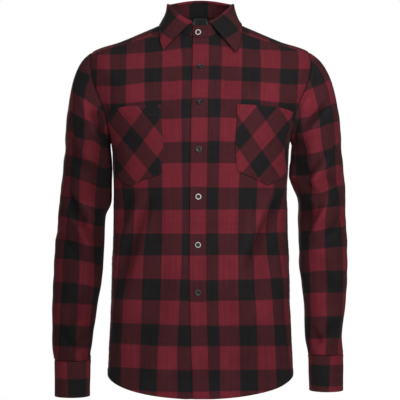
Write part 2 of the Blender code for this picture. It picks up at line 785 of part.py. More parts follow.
def make_stand(finish):
    turns = np.linspace(STAND_LAP, -2.0 * math.pi - STAND_LAP, STAND_STEPS)
    gone = (turns[0] - turns) / STAND_LAP
    step = np.clip(1.0 - (gone - STAND_UNDER) / 2.0, 0.0, 1.0)
    inset = (COLLAR_CLOTH + LAID_GAP) * step * step * (3.0 - 2.0 * step)
    shares = np.linspace(0.0, 1.0, 4)
    outer = np.array([stand_point(turns, share, inset) for share in shares])
    inner = np.array([stand_point(turns, share, inset + COLLAR_CLOTH) for share in shares])
    wall("collar_stand", outer, inner, finish)


def leaf_profile(turn_fold, turn_edge, ring_edge):
    """Centre line of the collar leaf at one place: up from the stand, over the roll and out to its edge."""
    top = stand_point(np.asarray(turn_fold), 1.0, 0.5 * COLLAR_CLOTH)
    foot = stand_point(np.asarray(turn_fold), 0.0, 0.5 * COLLAR_CLOTH)
    up = (top - foot) / np.linalg.norm(top - foot)
    out = top - stand_point(np.asarray(turn_fold), 1.0, 4.0 * COLLAR_CLOTH)
    out = out - (out @ up) * up
    out /= np.linalg.norm(out)
    edge = body_point(turn_edge, ring_edge) + LEAF_LIFT * body_normal(turn_edge, ring_edge)
    start = top + LEAF_GAP * up
    rise = start + LEAF_RISE * up
    line = [start, rise]
    for angle in (50.0, 100.0, 150.0):
        bend = math.radians(angle)
        line.append(rise + ROLL * ((1.0 - math.cos(bend)) * out + math.sin(bend) * up))
    last = line[-1]
    for part in (0.25, 0.5, 0.75, 1.0):
        line.append(last + part * (edge - last) + LEAF_SWELL * math.sin(math.pi * part) * out)
    return np.array(line)


def half_leaf(side):
    """Centre lines of one half of the collar leaf, from its point to the middle of the back."""
    rows = np.asarray(LEAF_EDGE, float)
    lines = []
    for share in np.linspace(0.0, 1.0, LEAF_STEPS + 1):
        turn_fold = LEAF_START + (math.pi - LEAF_START) * share
        turn_edge = LEAF_POINT_TURN[side] + (math.pi - LEAF_POINT_TURN[side]) * share**0.95
        ring_edge = float(np.interp(math.degrees(turn_edge), rows[:, 0], rows[:, 1]))
        lines.append(leaf_profile(turn_fold, turn_edge, ring_edge))
    return np.array(lines)


def make_leaf(finish):
    right_half = half_leaf("right")[::-1][1:] * np.array([-1.0, 1.0, 1.0])
    centre = np.concatenate([half_leaf("left"), right_half])
    along = np.gradient(centre, axis=0)
    across = np.gradient(centre, axis=1)
    normal = np.cross(across, along)
    normal /= np.linalg.norm(normal, axis=-1, keepdims=True)
    outer = centre + 0.5 * COLLAR_CLOTH * normal
    inner = centre - 0.5 * COLLAR_CLOTH * normal
    wall("collar_leaf", outer, inner, finish)


def make_pocket(side, finish):
    inner_x, outer_top, outer_foot, *heights = np.array(POCKETS[side]) * MM
    top_inner, top_outer, foot_inner, foot_outer, point = heights
    across = np.linspace(0.0, 1.0, POCKET_STEPS + 1)[:, None]
    drop = (point - 0.5 * (foot_inner + foot_outer)) * (1.0 - np.abs(2.0 * across - 1.0))
    top_places = place_on_body(inner_x, top_inner), place_on_body(outer_top, top_outer)
    foot_places = place_on_body(inner_x, foot_inner), place_on_body(outer_foot, foot_outer)
    top = (1.0 - across) * top_places[0] + across * top_places[1]
    foot = (1.0 - across) * foot_places[0] + across * foot_places[1]
    ring_per_height = (foot[0, 1] - top[0, 1]) / (foot_inner - top_inner)
    foot[:, 1] += ring_per_height * drop[:, 0]
    share = np.linspace(0.0, 1.0, POCKET_ROWS + 1)[:, None, None]
    places = foot + share * (top - foot)
    here = body_point(places[..., 0], places[..., 1])
    out = body_normal(places[..., 0], places[..., 1])
    outer = here + (POCKET_GAP + POCKET_CLOTH) * out
    inner = here + POCKET_GAP * out
    wall("pocket_" + side, to_side(outer, side), to_side(inner, side), finish)


def make_label(finish):
    turns = np.linspace(math.pi - LABEL_HALF_TURN, math.pi + LABEL_HALF_TURN, 5)
    outer = []
    inner = []
    for ring in np.linspace(*LABEL_RINGS, 4):
        rings = np.full_like(turns, ring)
        here = body_point(turns, rings)
        out = body_normal(turns, rings)
        outer.append(here - (CLOTH + LABEL_GAP) * out)
        inner.append(here - (CLOTH + LABEL_GAP + LABEL_CLOTH) * out)
    wall("neck_label", np.array(outer), np.array(inner), finish)


def make_button(name, foot, out, finish):
    """A round dished button, turned about its own axis."""
    out = out / np.linalg.norm(out)
    aside = np.cross(out, np.array([0.0, 0.0, 1.0]))
    aside /= np.linalg.norm(aside)
    up = np.cross(aside, out)
    mesh = bmesh.new()
    rings = []
    for radius_share, height_share in BUTTON_PROFILE:
        radius = radius_share * BUTTON_RADIUS
        height = height_share * BUTTON_HEIGHT
        count = BUTTON_SIDES if radius > 0.0 else 1
        ring = []
        for number in range(count):
            angle = 2.0 * math.pi * number / BUTTON_SIDES
            spoke = math.cos(angle) * aside + math.sin(angle) * up
            ring.append(mesh.verts.new(foot + height * out + radius * spoke))
        rings.append(ring)
    for low, high in zip(rings, rings[1:]):
        for number in range(BUTTON_SIDES):
            after = (number + 1) % BUTTON_SIDES
            below = [low[number % len(low)], low[after % len(low)]]
            above = [high[after % len(high)], high[number % len(high)]]
            mesh.faces.new(list(dict.fromkeys(below + above)))
    bmesh.ops.recalc_face_normals(mesh, faces=mesh.faces)
    finish_object(name, mesh, finish)


def make_buttons(finish):
    for number, height in enumerate(FRONT_BUTTON_HEIGHTS, start=1):
        turn, ring = place_on_body(front_drift(height * MM), height * MM)
        here = body_point(turn, ring)
        out = body_normal(turn, ring)
        make_button(f"front_button_{number}", here + (BAND_RISE + SEAM_GAP) * out, out, finish)
    share = (NECK_BUTTON_HEIGHT - STAND_FOOT[4]) / (STAND_TOP[4] - STAND_FOOT[4])
    turn = np.asarray(NECK_BUTTON_TURN)
    here = stand_point(turn, share, 0.0)
    up = stand_point(turn, 1.0, 0.0) - stand_point(turn, 0.0, 0.0)
    out = np.cross(stand_point(turn + 0.02, share, 0.0) - here, up)
    out /= np.linalg.norm(out)
    make_button("neck_button", here + SEAM_GAP * out, out, finish)
    for side in ("left", "right"):
        way = np.asarray(CUFF_OPENING - 0.5 * CUFF_LAP + 2.0 * math.pi)
        here = cuff_point(side, way, 0.5, 0.0)
        beside = cuff_point(side, way + 0.02, 0.5, 0.0) - cuff_point(side, way - 0.02, 0.5, 0.0)
        down = cuff_point(side, way, 1.0, 0.0) - cuff_point(side, way, 0.0, 0.0)
        out = np.cross(beside, down)
        out /= np.linalg.norm(out)
        foot = here + LAID_GAP * out
        make_button("cuff_button_" + side, to_side(foot, side), to_side(out, side), finish)


def main():
    clear_scene()
    cloth = material("red_check", 0.9)
    plastic = material("button", 0.25)
    tape = material("label", 0.8)
    make_fronts(cloth)
    make_front_band(cloth)
    make_back(cloth)
    make_yoke(cloth)
    make_stand(cloth)
    make_leaf(cloth)
    for side in ("left", "right"):
        make_sleeve(side, cloth)
        make_sleeve_placket(side, cloth)
        make_cuff(side, cloth)
        make_pocket(side, cloth)
    make_buttons(plastic)
    make_label(tape)


main()
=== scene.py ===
# %% [markdown]
# # A buttoned flannel shirt, worn by nobody
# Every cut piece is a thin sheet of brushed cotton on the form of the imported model, with its creases,
# seams, stitches and woven check. Lengths are in metres, and tables in millimetres. Z is up, -Y is the
# front, and +X is the wearer's left.

# %% Load the frame
import math

import bmesh
import bpy
import numpy as np
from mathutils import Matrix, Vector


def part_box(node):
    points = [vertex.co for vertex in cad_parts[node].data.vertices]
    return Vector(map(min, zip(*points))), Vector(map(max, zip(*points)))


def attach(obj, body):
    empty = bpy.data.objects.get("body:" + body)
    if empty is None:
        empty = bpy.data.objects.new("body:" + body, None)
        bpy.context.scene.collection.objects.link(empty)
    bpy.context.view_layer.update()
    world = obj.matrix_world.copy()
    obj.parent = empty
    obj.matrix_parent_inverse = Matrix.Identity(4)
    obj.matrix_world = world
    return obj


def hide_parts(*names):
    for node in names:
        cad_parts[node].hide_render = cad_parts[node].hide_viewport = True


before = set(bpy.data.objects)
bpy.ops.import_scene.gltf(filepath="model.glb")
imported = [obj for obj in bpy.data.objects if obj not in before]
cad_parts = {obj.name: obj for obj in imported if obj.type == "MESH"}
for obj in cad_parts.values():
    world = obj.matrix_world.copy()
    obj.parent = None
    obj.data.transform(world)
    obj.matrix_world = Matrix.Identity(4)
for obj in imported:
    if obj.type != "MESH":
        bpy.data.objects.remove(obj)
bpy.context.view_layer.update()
MM = 0.001
FULL_TURN = 2.0 * math.pi
# the wearer's sides, and which way x grows there
SIDES = {"left": 1, "right": -1}
print("nodes in the frame:", len(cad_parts))

# %% [markdown]
# ## Camera first
# It looks square on, from far enough away that the sleeves aren't stretched. The lens follows from this
# distance and the width that fills the frame there, which are easier to reason about.

# %% Camera
CAMERA_HEIGHT = -0.338
CAMERA_DISTANCE = 3.3
FRAME_WIDTH = 0.8
CAMERA_X = -0.001


def placed(name, data):
    """An object in the scene that shows some data."""
    made = bpy.data.objects.new(name, data)
    bpy.context.scene.collection.objects.link(made)
    return made


camera_data = bpy.data.cameras.new("camera")
camera_data.sensor_width = 36.0
camera_data.lens = 36.0 * CAMERA_DISTANCE / FRAME_WIDTH
camera = placed("camera", camera_data)
camera.location = (CAMERA_X, -CAMERA_DISTANCE, CAMERA_HEIGHT)
camera.rotation_euler = (math.radians(90.0), 0.0, 0.0)
bpy.context.scene.camera = camera


def seen(points):
    """Where points show on the upright plane through the middle of the shirt, as x and z in millimetres."""
    pull = CAMERA_DISTANCE / (CAMERA_DISTANCE + points[..., 1])
    x = (points[..., 0] - CAMERA_X) * pull + CAMERA_X
    z = (points[..., 2] - CAMERA_HEIGHT) * pull + CAMERA_HEIGHT
    return x / MM, z / MM


print("lens", round(camera_data.lens, 1), "mm")

# %% [markdown]
# ## The form of the body
# Rings run from the neck seam out over the shoulders and down to the tails, with a smooth curve through
# them. A place is given by how far round it is and how far out along the rings. Panels are cut from
# this one surface, so they meet exactly at their seams.

# %% Rings of the body
def numbers(text, width):
    """A table of numbers with so many in each row."""
    return np.array(text.split(), float).reshape(-1, width)


# half width, y of the widest place, reach to the front and the back, height at the front, side and back,
# and fullness (1 is an ellipse, less is squarer), in millimetres
BODY_RINGS = numbers("""
68 18 60 62 -18 20 36 1
84 17 66 70 -32 12 25 1
116 14 70 84 -56 -2 2 1
160 10 88 100 -88 -21 -37 1
217 6 108 112 -124 -43 -87 1
230 3 119 119 -152 -88 -130 0.98
216 1 126 122 -180 -135 -168 0.94
196 0 129 122 -208 -182 -204 0.9
179 0 130 120 -236 -220 -237 0.88
175 0 129 118 -274 -272 -274 0.87
173 0 126 115 -318 -318 -318 0.86
173 0 123 111 -370 -370 -370 0.86
175 0 120 107 -430 -430 -430 0.86
177 0 119 106 -496 -496 -496 0.86
179 0 119 108 -564 -564 -564 0.86
182 0 120 111 -632 -632 -632 0.86
185 0 121 114 -694 -694 -694 0.86
187 0 122 116 -752 -752 -752 0.86
""", 8)
LAST_RING = len(BODY_RINGS) - 1.0
TIP_RING = 4.0
ARMPIT_RING = 8.0
RING_MARGIN = 0.02


def curve_between(start, lead, end, trail, part):
    """A place on the curve that leaves start along lead and arrives at end along trail."""
    turn, bend = 3.0 * (end - start) - 2.0 * lead - trail, 2.0 * (start - end) + lead + trail
    return start + part * (lead + part * (turn + part * bend))


def smooth_between(table, at):
    """Rows of a table read at any step in between, along a Catmull-Rom curve."""
    rows = np.asarray(table, float)
    at = np.clip(np.asarray(at, float), 0.0, len(rows) - 1.0)
    low = np.minimum(np.floor(at).astype(int), len(rows) - 2)
    part = (at - low)[..., None]
    before, start = rows[np.maximum(low - 1, 0)], rows[low]
    end, after = rows[low + 1], rows[np.minimum(low + 2, len(rows) - 1)]
    return curve_between(start, 0.5 * (end - before), end, 0.5 * (after - start), part)


def signed_power(value, power):
    return np.sign(value) * np.abs(value) ** power


def ring_point(rows, turn):
    half_width, mid, front, back, z_front, z_side, z_back = np.moveaxis(rows[..., :-1] * MM, -1, 0)
    ahead = np.cos(turn)
    depth = np.where(ahead >= 0.0, front, back)
    level = np.where(ahead >= 0.0, z_front, z_back)
    y = mid - depth * signed_power(ahead, rows[..., -1])
    z = z_side + (level - z_side) * ahead**2
    return np.stack([half_width * np.sin(turn), y, z], axis=-1)


def plain_body(turn, ring):
    return ring_point(smooth_between(BODY_RINGS, ring), turn)


def unit(vectors):
    return vectors / np.maximum(np.linalg.norm(vectors, axis=-1, keepdims=True), 1e-12)


def surface_normal(function, first, second, step=2e-3):
    along = function(first + step, second) - function(first - step, second)
    across = function(first, second + step) - function(first, second - step)
    return unit(np.cross(along, across))


def smooth_step(value):
    value = np.clip(value, 0.0, 1.0)
    return value * value * (3.0 - 2.0 * value)


def bell(value, spread, centre=0.0):
    return np.exp(-(((value - centre) / spread) ** 2))


print("body rings:", len(BODY_RINGS))

# %% [markdown]
# ## Creases
# Cloth that is pulled or bent folds along soft lines. Each is drawn: its points as seen square
# on, how wide and deep its trough is, and how high a ridge it pushes up beside it. No two are alike, and
# a trough fades out at both ends.

# %% Creases of the body
def read_creases(text):
    """One crease on each line: points (x, z), then reach, depth and ridge height."""
    rows = [line.split("|") for line in text.strip().split("\n")]
    return [(numbers(points, 2), *numbers(shape, 3)[0]) for points, shape in rows]


# a negative ridge height puts the ridge on the other side, and a negative depth makes a ridge of it all
FRONT_CREASES = read_creases("""
169 -316  150 -345  139 -372  122 -408  104 -446  88 -490 | 11 7.5 -3.6
150 -420  133 -455  118 -500 | 16 2.2 0.8
-96 -318  -108 -352  -122 -388  -136 -430  -150 -480  -166 -545 | 12 6 -3
-132 -318  -150 -360  -163 -410 | 12 3 -1
-60 -470  -74 -560  -84 -640 | 26 2 0
62 -520  72 -610  76 -700 | 28 2.2 0
118 -560  126 -640  128 -712 | 24 2 0.5
-128 -560  -120 -640  -126 -712 | 22 2.2 -0.5
30 -560  34 -650  30 -730 | 20 1.2 0
-38 -540  -44 -640  -40 -730 | 20 1.3 0
186 -150  158 -176  126 -190 | 14 1.6 0.8
-196 -150  -166 -172  -134 -182 | 13 1.8 0.9
204 -92  176 -112  146 -120 | 12 1.3 0.6
-206 -92  -180 -108  -152 -118 | 12 1.5 0.7
174 -232  160 -268  150 -300 | 12 2 0.8
-176 -232  -164 -262  -150 -292 | 12 2.2 0.8
56 -78  62 -130  60 -180 | 22 1.2 0
-60 -80  -64 -140  -58 -196 | 22 1.2 0
""")
BACK_CREASES = read_creases("""
186 -176  160 -206  128 -230  92 -244 | 13 3.4 1.6
180 -212  150 -250  112 -286 | 13 3.6 1.6
-188 -178  -158 -210  -120 -236 | 14 3.2 1.5
-178 -216  -150 -262  -118 -300  -96 -322 | 13 3.8 1.7
60 -150  66 -230  60 -330  70 -430 | 22 2.4 0.8
-66 -160  -58 -260  -68 -380 | 22 2.4 -0.8
4 -240  -4 -340  6 -450 | 26 1.8 0
132 -330  104 -372  70 -398  36 -404 | 15 4.2 2
140 -376  112 -424  80 -448 | 14 3.4 1.6
-136 -340  -108 -384  -74 -404 | 14 4 1.9
-142 -392  -110 -438  -66 -462  -30 -464 | 15 3.6 1.7
92 -470  84 -560  90 -660  86 -720 | 20 3.2 1.2
-88 -480  -94 -590  -84 -720 | 20 3.2 -1.2
30 -500  24 -610  34 -730 | 24 2.4 0.8
-34 -520  -28 -640  -40 -735 | 24 2.2 -0.8
142 -520  136 -600  140 -690 | 18 2.6 1
-146 -530  -136 -620  -144 -690 | 18 2.4 1
""")


def crease_height(x, z, creases):
    """Height of the creases at places seen as x and z, in metres: troughs are negative."""
    total = np.zeros_like(x)
    for points, reach, depth, ridge in creases:
        line = smooth_between(points, np.linspace(0.0, len(points) - 1.0, 4 * len(points)))
        best, side, along = np.full(x.shape, np.inf), np.zeros_like(x), np.zeros_like(x)
        for number, (start, end) in enumerate(zip(line, line[1:])):
            step = end - start
            gone = ((x - start[0]) * step[0] + (z - start[1]) * step[1]) / (step @ step)
            near = np.clip(gone, 0.0, 1.0)
            off_x, off_z = x - start[0] - near * step[0], z - start[1] - near * step[1]
            apart = np.hypot(off_x, off_z)
            closer = apart < best
            best = np.where(closer, apart, best)
            cross = step[0] * off_z - step[1] * off_x
            side = np.where(closer, np.sign(cross), side)
            along = np.where(closer, (number + near) / (len(line) - 1.0), along)
        fade = smooth_step(along / 0.28) * smooth_step((1.0 - along) / 0.28)
        signed = best * side
        crest = bell(signed, reach, 1.5 * reach * np.sign(ridge))
        total += MM * fade * (abs(ridge) * crest - depth * bell(signed, reach))
    return total


def rumple(x, z, seed, size, height):
    """Soft unevenness of hanging cloth, as a sum of a few waves with fixed directions."""
    dice = np.random.default_rng(seed)
    total = np.zeros_like(x)
    for _ in range(9):
        heading = dice.uniform(0.0, math.pi)
        length = size * dice.uniform(0.6, 1.8)
        phase = dice.uniform(0.0, 2.0 * math.pi)
        total += np.sin((x * math.cos(heading) + z * math.sin(heading)) * 2.0 * math.pi / length + phase)
    return total / 3.0 * height * MM


print("creases on the front:", len(FRONT_CREASES), "and on the back:", len(BACK_CREASES))

# %% Body surface with its creases
# front (1) or back (0), top and foot (x, z), reach, depth
BODY_FOLDS = numbers("""
1 150 -330 100 -456 15 5
1 128 -330 120 -560 20 2.5
1 -122 -330 -166 -500 17 4
1 -70 -420 -96 -640 24 2.5
1 70 -520 84 -690 26 2.5
0 74 -330 58 -650 26 5
0 -80 -340 -60 -660 26 5
0 142 -260 112 -480 18 3.5
0 -142 -270 -116 -500 18 3.5
""", 7)


def fold_depth(point, front_half):
    """How far the broad folds of the form draw a point inward."""
    total = np.zeros(point.shape[:-1])
    for on_front, x_top, z_top, x_foot, z_foot, reach, depth in BODY_FOLDS:
        top = np.array([x_top, z_top]) * MM
        line = np.array([x_foot, z_foot]) * MM - top
        away = point[..., [0, 2]] - top
        along = (away @ line) / (line @ line)
        across = (away[..., 0] * line[1] - away[..., 1] * line[0]) / np.linalg.norm(line)
        swell = smooth_step(np.minimum(along + 0.15, 1.15 - along) / 0.4)
        held = front_half if on_front else 1.0 - front_half
        total += depth * MM * held * swell * bell(across, reach * MM)
    return total


def inner_rings(ring):
    return np.clip(ring, RING_MARGIN, LAST_RING - RING_MARGIN)


def form_point(turn, ring):
    """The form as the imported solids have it."""
    turn, ring = np.broadcast_arrays(np.asarray(turn, float), np.asarray(ring, float))
    point = plain_body(turn, ring)
    out = -surface_normal(plain_body, turn, inner_rings(ring))
    front_half = np.clip(0.5 + 4.0 * np.cos(turn), 0.0, 1.0)
    return point - fold_depth(point, front_half)[..., None] * out


def form_normal(turn, ring):
    return -surface_normal(form_point, turn, inner_rings(ring))


def cloth_point(turn, ring):
    """The form with its creases and the soft unevenness of cloth."""
    point = form_point(turn, ring)
    out = form_normal(turn, ring)
    x, z = seen(point)
    front_half = smooth_step(0.5 + 2.2 * np.cos(turn))
    height = front_half * crease_height(x, z, FRONT_CREASES)
    height += (1.0 - front_half) * crease_height(x, z, BACK_CREASES)
    around = np.asarray(turn) * 150.0
    calm = smooth_step((-z - 20.0) / 120.0)
    height += calm * (rumple(around, z, 3, 95.0, 0.55) + rumple(around, z, 8, 38.0, 0.16))
    return point + height[..., None] * out


def cloth_normal(turn, ring):
    return -surface_normal(cloth_point, turn, inner_rings(ring))


print("lowest ring at", BODY_RINGS[-1][4], "mm")


# %% [markdown]
# ## Where the check falls
# Tables say at which seen places columns and rows begin. Between them the cloth is read off along the
# surface, so a column narrows where a crease swallows part of it.

# %% Check sizes and helpers to read tables
DARK_COLUMN = 35.5
RED_COLUMN = 37.5
DARK_ROW = 42.5
RED_ROW = 45.5
COLUMN_PERIOD = DARK_COLUMN + RED_COLUMN
ROW_PERIOD = DARK_ROW + RED_ROW


def read_on(at, places, values):
    """Values read between places, and carried on at the slope of the ends beyond them."""
    places, values = np.asarray(places, float), np.asarray(values, float)
    if places[0] > places[-1]:
        places, values = places[::-1], values[::-1]
    read = np.interp(at, places, values)
    first = (values[1] - values[0]) / (places[1] - places[0])
    last = (values[-1] - values[-2]) / (places[-1] - places[-2])
    read = np.where(at < places[0], values[0] + (at - places[0]) * first, read)
    return np.where(at > places[-1], values[-1] + (at - places[-1]) * last, read)


def travelled(points, axis=0):
    """How far each point is along its line of a path or grid, in metres."""
    gone = np.linalg.norm(np.diff(points, axis=axis), axis=-1)
    start = np.zeros_like(np.take(gone, [0], axis=axis))
    return np.concatenate([start, np.cumsum(gone, axis=axis)], axis=axis)


def crossing(gap, length, start=0):
    """How far along a line its gap to an edge closes, after place number start, or nan if it doesn't."""
    closed = np.flatnonzero(gap[start + 1 :] <= 0.0)
    if not len(closed):
        return np.nan
    low, high = start + closed[0], start + closed[0] + 1
    part = np.clip(gap[low] / ((gap[low] - gap[high]) or 1.0), 0.0, 1.0)
    return length[low] + part * (length[high] - length[low])


def evened(values, known):
    """Values of the rows of a grid, with gaps filled and smoothed over nine rows."""
    filled = np.interp(np.arange(len(values)), np.flatnonzero(known), values[known])
    return np.convolve(np.pad(filled, 4, mode="edge"), np.ones(9) / 9.0, mode="valid")


def columns_along(length, starts, edges):
    """u along the lines of a grid: read between the starts of their columns, and by length beyond them."""
    u = np.array([np.interp(run, here, edges) for run, here in zip(length, starts)])
    return u + np.minimum(length - starts[:, :1], 0.0) + np.maximum(length - starts[:, -1:], 0.0)


def read_grid(values, row, column):
    """Values of a grid, read at numbers of rows and columns in between."""
    low, left = row.astype(int), column.astype(int)
    low = np.minimum(low, len(values) - 2)
    more = (1,) * (values.ndim - 2)
    down, over = (row - low).reshape(*row.shape, *more), (column - left).reshape(*row.shape, *more)
    top = values[low, left] * (1 - over) + values[low, left + 1] * over
    foot = values[low + 1, left] * (1 - over) + values[low + 1, left + 1] * over
    return top * (1 - down) + foot * down


def row_edges(count, first_is_dark):
    """Where rows of cloth begin, from 0 at the top of the first red row."""
    edges = [RED_ROW if first_is_dark else 0.0]
    for number in range(count - 1):
        dark = (number % 2 == 0) == first_is_dark
        edges.append(edges[-1] + (DARK_ROW if dark else RED_ROW))
    return edges


print("the check repeats every", COLUMN_PERIOD, "by", ROW_PERIOD, "mm")

# %% Check on the fronts
# height, then how far out the first dark column ends and the next columns start and end
FRONT_COLUMNS = {
    "left": numbers("""
-18 42 82.4 117.6 156.4 193
-50 43 83 120.4 159.4 196.6
-84 41 83 121 158.6 196.2
-116 41 81.4 120.2 157 194
-154 40.6 81 120 156.4 193
-334 35.8 75.6 113 144.8 166
-382 35.8 75 110.2 135 151
-428 35.8 75 110 130 156
-474 35.8 74.6 107 138.4 162
-520 35.8 75.6 109.6 141.8 167
-564 36.6 77 111 145.6 168
-608 38 78.2 115.4 148 172
-652 39.6 79.8 115 150.2 177
-698 39.6 79.4 116 152.8 184
""", 6),
    "right": numbers("""
-18 41 77 110.4 145.8 179.2
-52 36.4 75.4 111.4 146.6 181
-84 36.4 76.4 112 147.8 181
-118 37.2 77.4 112.2 149 181
-154 39 77.8 112.2 149 181
-334 35.8 76.2 104.2 131 155
-382 37 76.6 108 132 157
-428 37.4 77 113.8 139 159
-474 38 78.4 115.4 149 164
-520 42 80 117 153.6 169
-564 43 81 118 155.2 176
-608 46 84.6 120.4 158.2 179.2
-652 47 85.8 122 158.2 181
-698 46.6 87 123.4 160 187
""", 6),
}
COLUMN_EDGES = [0.0, 37.5, 73.0, 110.5, 146.0]
WIDEST_COLUMN = 62.0
# the height of the armpit, and how far out the side seam is seen there
ARMPIT_HEIGHT, SIDE_SEEN = -236.0, 170.0

# distance from the middle, then how far down each row begins
FRONT_ROWS = {
    "left": numbers("""
27 28.8 69.4 97 134.6 172.8 220 264.2 313 357.6 404.4 448.4 497.8 540 589.6 630.6 677.8 720.8
99 36.4 72.2 100.4 136 175 222 265 313 356.8 404.4 448.4 496.8 539.2 588.6 630 677.2 720
177 39.6 76 107 144.4 182 226 268 314.4 356.8 402 449 493 536 587 630 676.8 720
""", 18),
    "right": numbers("""
27 33.4 69.4 98 135.2 174.4 221.2 264 312 357.8 405.2 449.2 496.8 540 588.6 631.6 679 722.6
95 42.4 73.8 101.8 138.4 177.2 223.2 265.2 313 358.4 404.8 449 495.2 539 586 630 675.6 721
165 47.2 76.8 110 145.2 183 227 268 315 357 404.8 449 495 537 583.8 625 671.8 716
""", 18),
    "band": numbers("""
3 27 70 98 133.2 173.4 221.6 264 311.2 357.4 405.8 449.4 498 542 588.6 630.6 676.6 721.2
""", 18),
}
FRONT_ROW_EDGES = row_edges(17, first_is_dark=False)


def read_rows(x, z, table, edges):
    """v at places seen as x and z, from a table of how far down the rows begin at some distances."""
    values = np.stack([read_on(z, -row[1:], edges) for row in table])
    if len(table) == 1:
        return values[0]
    spot = np.interp(x, table[:, 0], np.arange(len(table)))
    low = np.minimum(spot.astype(int), len(table) - 2)
    lower, upper = (np.take_along_axis(values, low[None] + more, axis=0)[0] for more in (0, 1))
    return lower + (spot - low) * (upper - lower)


def column_lattice(side):
    """u on a lattice of rings and turns, from the seen places of the column edges and then by length."""
    sign = SIDES[side]
    rings = np.linspace(0.0, LAST_RING, 171)
    turns = np.radians(np.linspace(0.0, 100.0, 201))
    points = form_point(sign * turns[None, :], rings[:, None])
    x, z = seen(points)
    x = x * sign
    length = travelled(points, axis=1) / MM
    table = FRONT_COLUMNS[side]
    starts = np.full((len(rings), len(COLUMN_EDGES)), np.nan)
    for number in range(len(COLUMN_EDGES)):
        gap = np.interp(-z, -table[:, 0], table[:, number + 1]) - x
        for row in np.flatnonzero(gap[:, 0] > 0.0):
            starts[row, number] = crossing(gap[row], length[row])
    before = 0.0
    for number in range(len(COLUMN_EDGES)):
        lead = starts[:, number] - before
        before = starts[:, number] = evened(lead, ~np.isnan(lead) & (lead < WIDEST_COLUMN)) + before
    return rings, turns, columns_along(length, starts, COLUMN_EDGES)


def read_lattice(lattice, turn, ring):
    rings, turns, values = lattice
    row = np.clip(np.interp(ring, rings, np.arange(len(rings))), 0, len(rings) - 1.001)
    column = np.clip(np.interp(turn, turns, np.arange(len(turns))), 0, len(turns) - 1.001)
    return read_grid(values, row, column)


COLUMN_LATTICE = {side: column_lattice(side) for side in SIDES}
SEAM_TURN = 0.5 * math.pi


def front_check(side, places):
    sign = SIDES[side]
    turn, ring = sign * places[..., 0], places[..., 1]
    u = read_lattice(COLUMN_LATTICE[side], np.maximum(turn, 0.0), ring)
    x, z = seen(form_point(sign * np.clip(turn, 0.0, 1.25), ring))
    v = read_rows(np.abs(x), z, FRONT_ROWS[side], FRONT_ROW_EDGES)
    middle_x, _ = seen(form_point(places[..., 0], ring))
    start = read_lattice(COLUMN_LATTICE[side], np.zeros_like(turn), ring)
    u = np.where(turn < 0.0, start + sign * middle_x, u)
    return u, v


def back_check(places):
    """u and v on the back: the middle is the middle of a dark column, and rows meet at the side seams."""
    turn, ring = places[..., 0], places[..., 1]
    point = form_point(turn, ring)
    around = np.linspace(0.5 * math.pi, 1.5 * math.pi, 121)
    rings = np.linspace(0.0, LAST_RING, 86)
    length = travelled(form_point(around[None], rings[:, None]), axis=1) / MM
    length -= length[:, len(around) // 2][:, None]
    u = read_lattice((rings, around, length), turn, ring) - 0.5 * DARK_COLUMN
    side_x, side_z = seen(form_point(np.full_like(ring, SEAM_TURN), ring))
    rows, z = (FRONT_ROWS["left"], FRONT_ROW_EDGES), point[..., 2] / MM
    low = read_rows(side_x, np.minimum(side_z, ARMPIT_HEIGHT), *rows)
    base = read_rows(np.full(1, SIDE_SEEN), np.full(1, ARMPIT_HEIGHT), *rows)
    return u, np.where(z > ARMPIT_HEIGHT, base + (ARMPIT_HEIGHT - z), low)


for side in SIDES:
    print(side, "front has", round(float(COLUMN_LATTICE[side][2][100, 180])), "mm of cloth to its side seam")

# %% [markdown]
# ## Cut panels
# A panel is a patch stretched between four drawn edges: its seams, its hem and its neck. The lines of
# its grid are close together beside an edge, where a seam or a turned hem needs them.

# %% Paths, patches and grid spacing
STEP = 3.6
EDGE_LINES = (0.0, 0.8, 2.0, 3.6, 5.4, 7.2, 9.4)


def joined(parts, ends=(1.0,)):
    """Paths of turn and ring, one after another, each with its own share of the way from 0 to 1."""
    shares, places, start = [], [], 0.0
    for part, end in zip(parts, ends):
        part = np.asarray(part, float)
        length = travelled(plain_body(part[:, 0], part[:, 1]))
        share = start + (end - start) * length / length[-1]
        first = 0 if not shares else 1
        shares.append(share[first:])
        places.append(part[first:])
        start = end
    return np.concatenate(shares), np.concatenate(places)


def along(path, shares):
    return np.stack([np.interp(shares, path[0], path[1][:, k]) for k in range(2)], axis=-1)


def path_length(path):
    return travelled(plain_body(path[1][:, 0], path[1][:, 1]))[-1] / MM


def spaced(length, step=STEP):
    """Shares of a length in millimetres, close together at its ends."""
    near = np.array(EDGE_LINES)
    low, high = near[-1], length - near[-1]
    count = max(int(round((high - low) / step)), 2)
    return np.concatenate([near, np.linspace(low, high, count + 1)[1:], (length - near[::-1])[1:]]) / length


def patch(bottom, top, left, right, step=STEP):
    """A Coons patch between four paths. Rows run from the bottom to the top."""
    across, up = spaced(path_length(bottom), step), spaced(path_length(left), step)
    foot, head, start, end = along(bottom, across), along(top, across), along(left, up), along(right, up)
    c, r = across[None, :, None], up[:, None, None]
    corners = (1 - r) * ((1 - c) * foot[0] + c * foot[-1]) + r * ((1 - c) * head[0] + c * head[-1])
    return (1 - r) * foot[None] + r * head[None] + (1 - c) * start[:, None] + c * end[:, None] - corners


def mirrored(places, start=0.0):
    """Places on the wearer's other side. Their turns count back from 0, or from a full turn."""
    return np.stack([start - places[..., 0], places[..., 1]], axis=-1)


print("grid lines beside an edge at", EDGE_LINES, "mm")

# %% Edges that the panels share
HEM_SIDE = -682.0 * MM
FRONT_TAIL = 40.0 * MM
BACK_TAIL = 55.0 * MM
ARMHOLE_FRONT = math.radians(25.0)
ARMHOLE_BACK = math.radians(31.0)
YOKE_CORNER_FRONT = math.radians(28.0)
YOKE_CORNER_BACK = math.radians(74.0)
YOKE_SEAM_TURN = math.radians(50.0)
YOKE_SEAM_GAIN = math.radians(6.7)
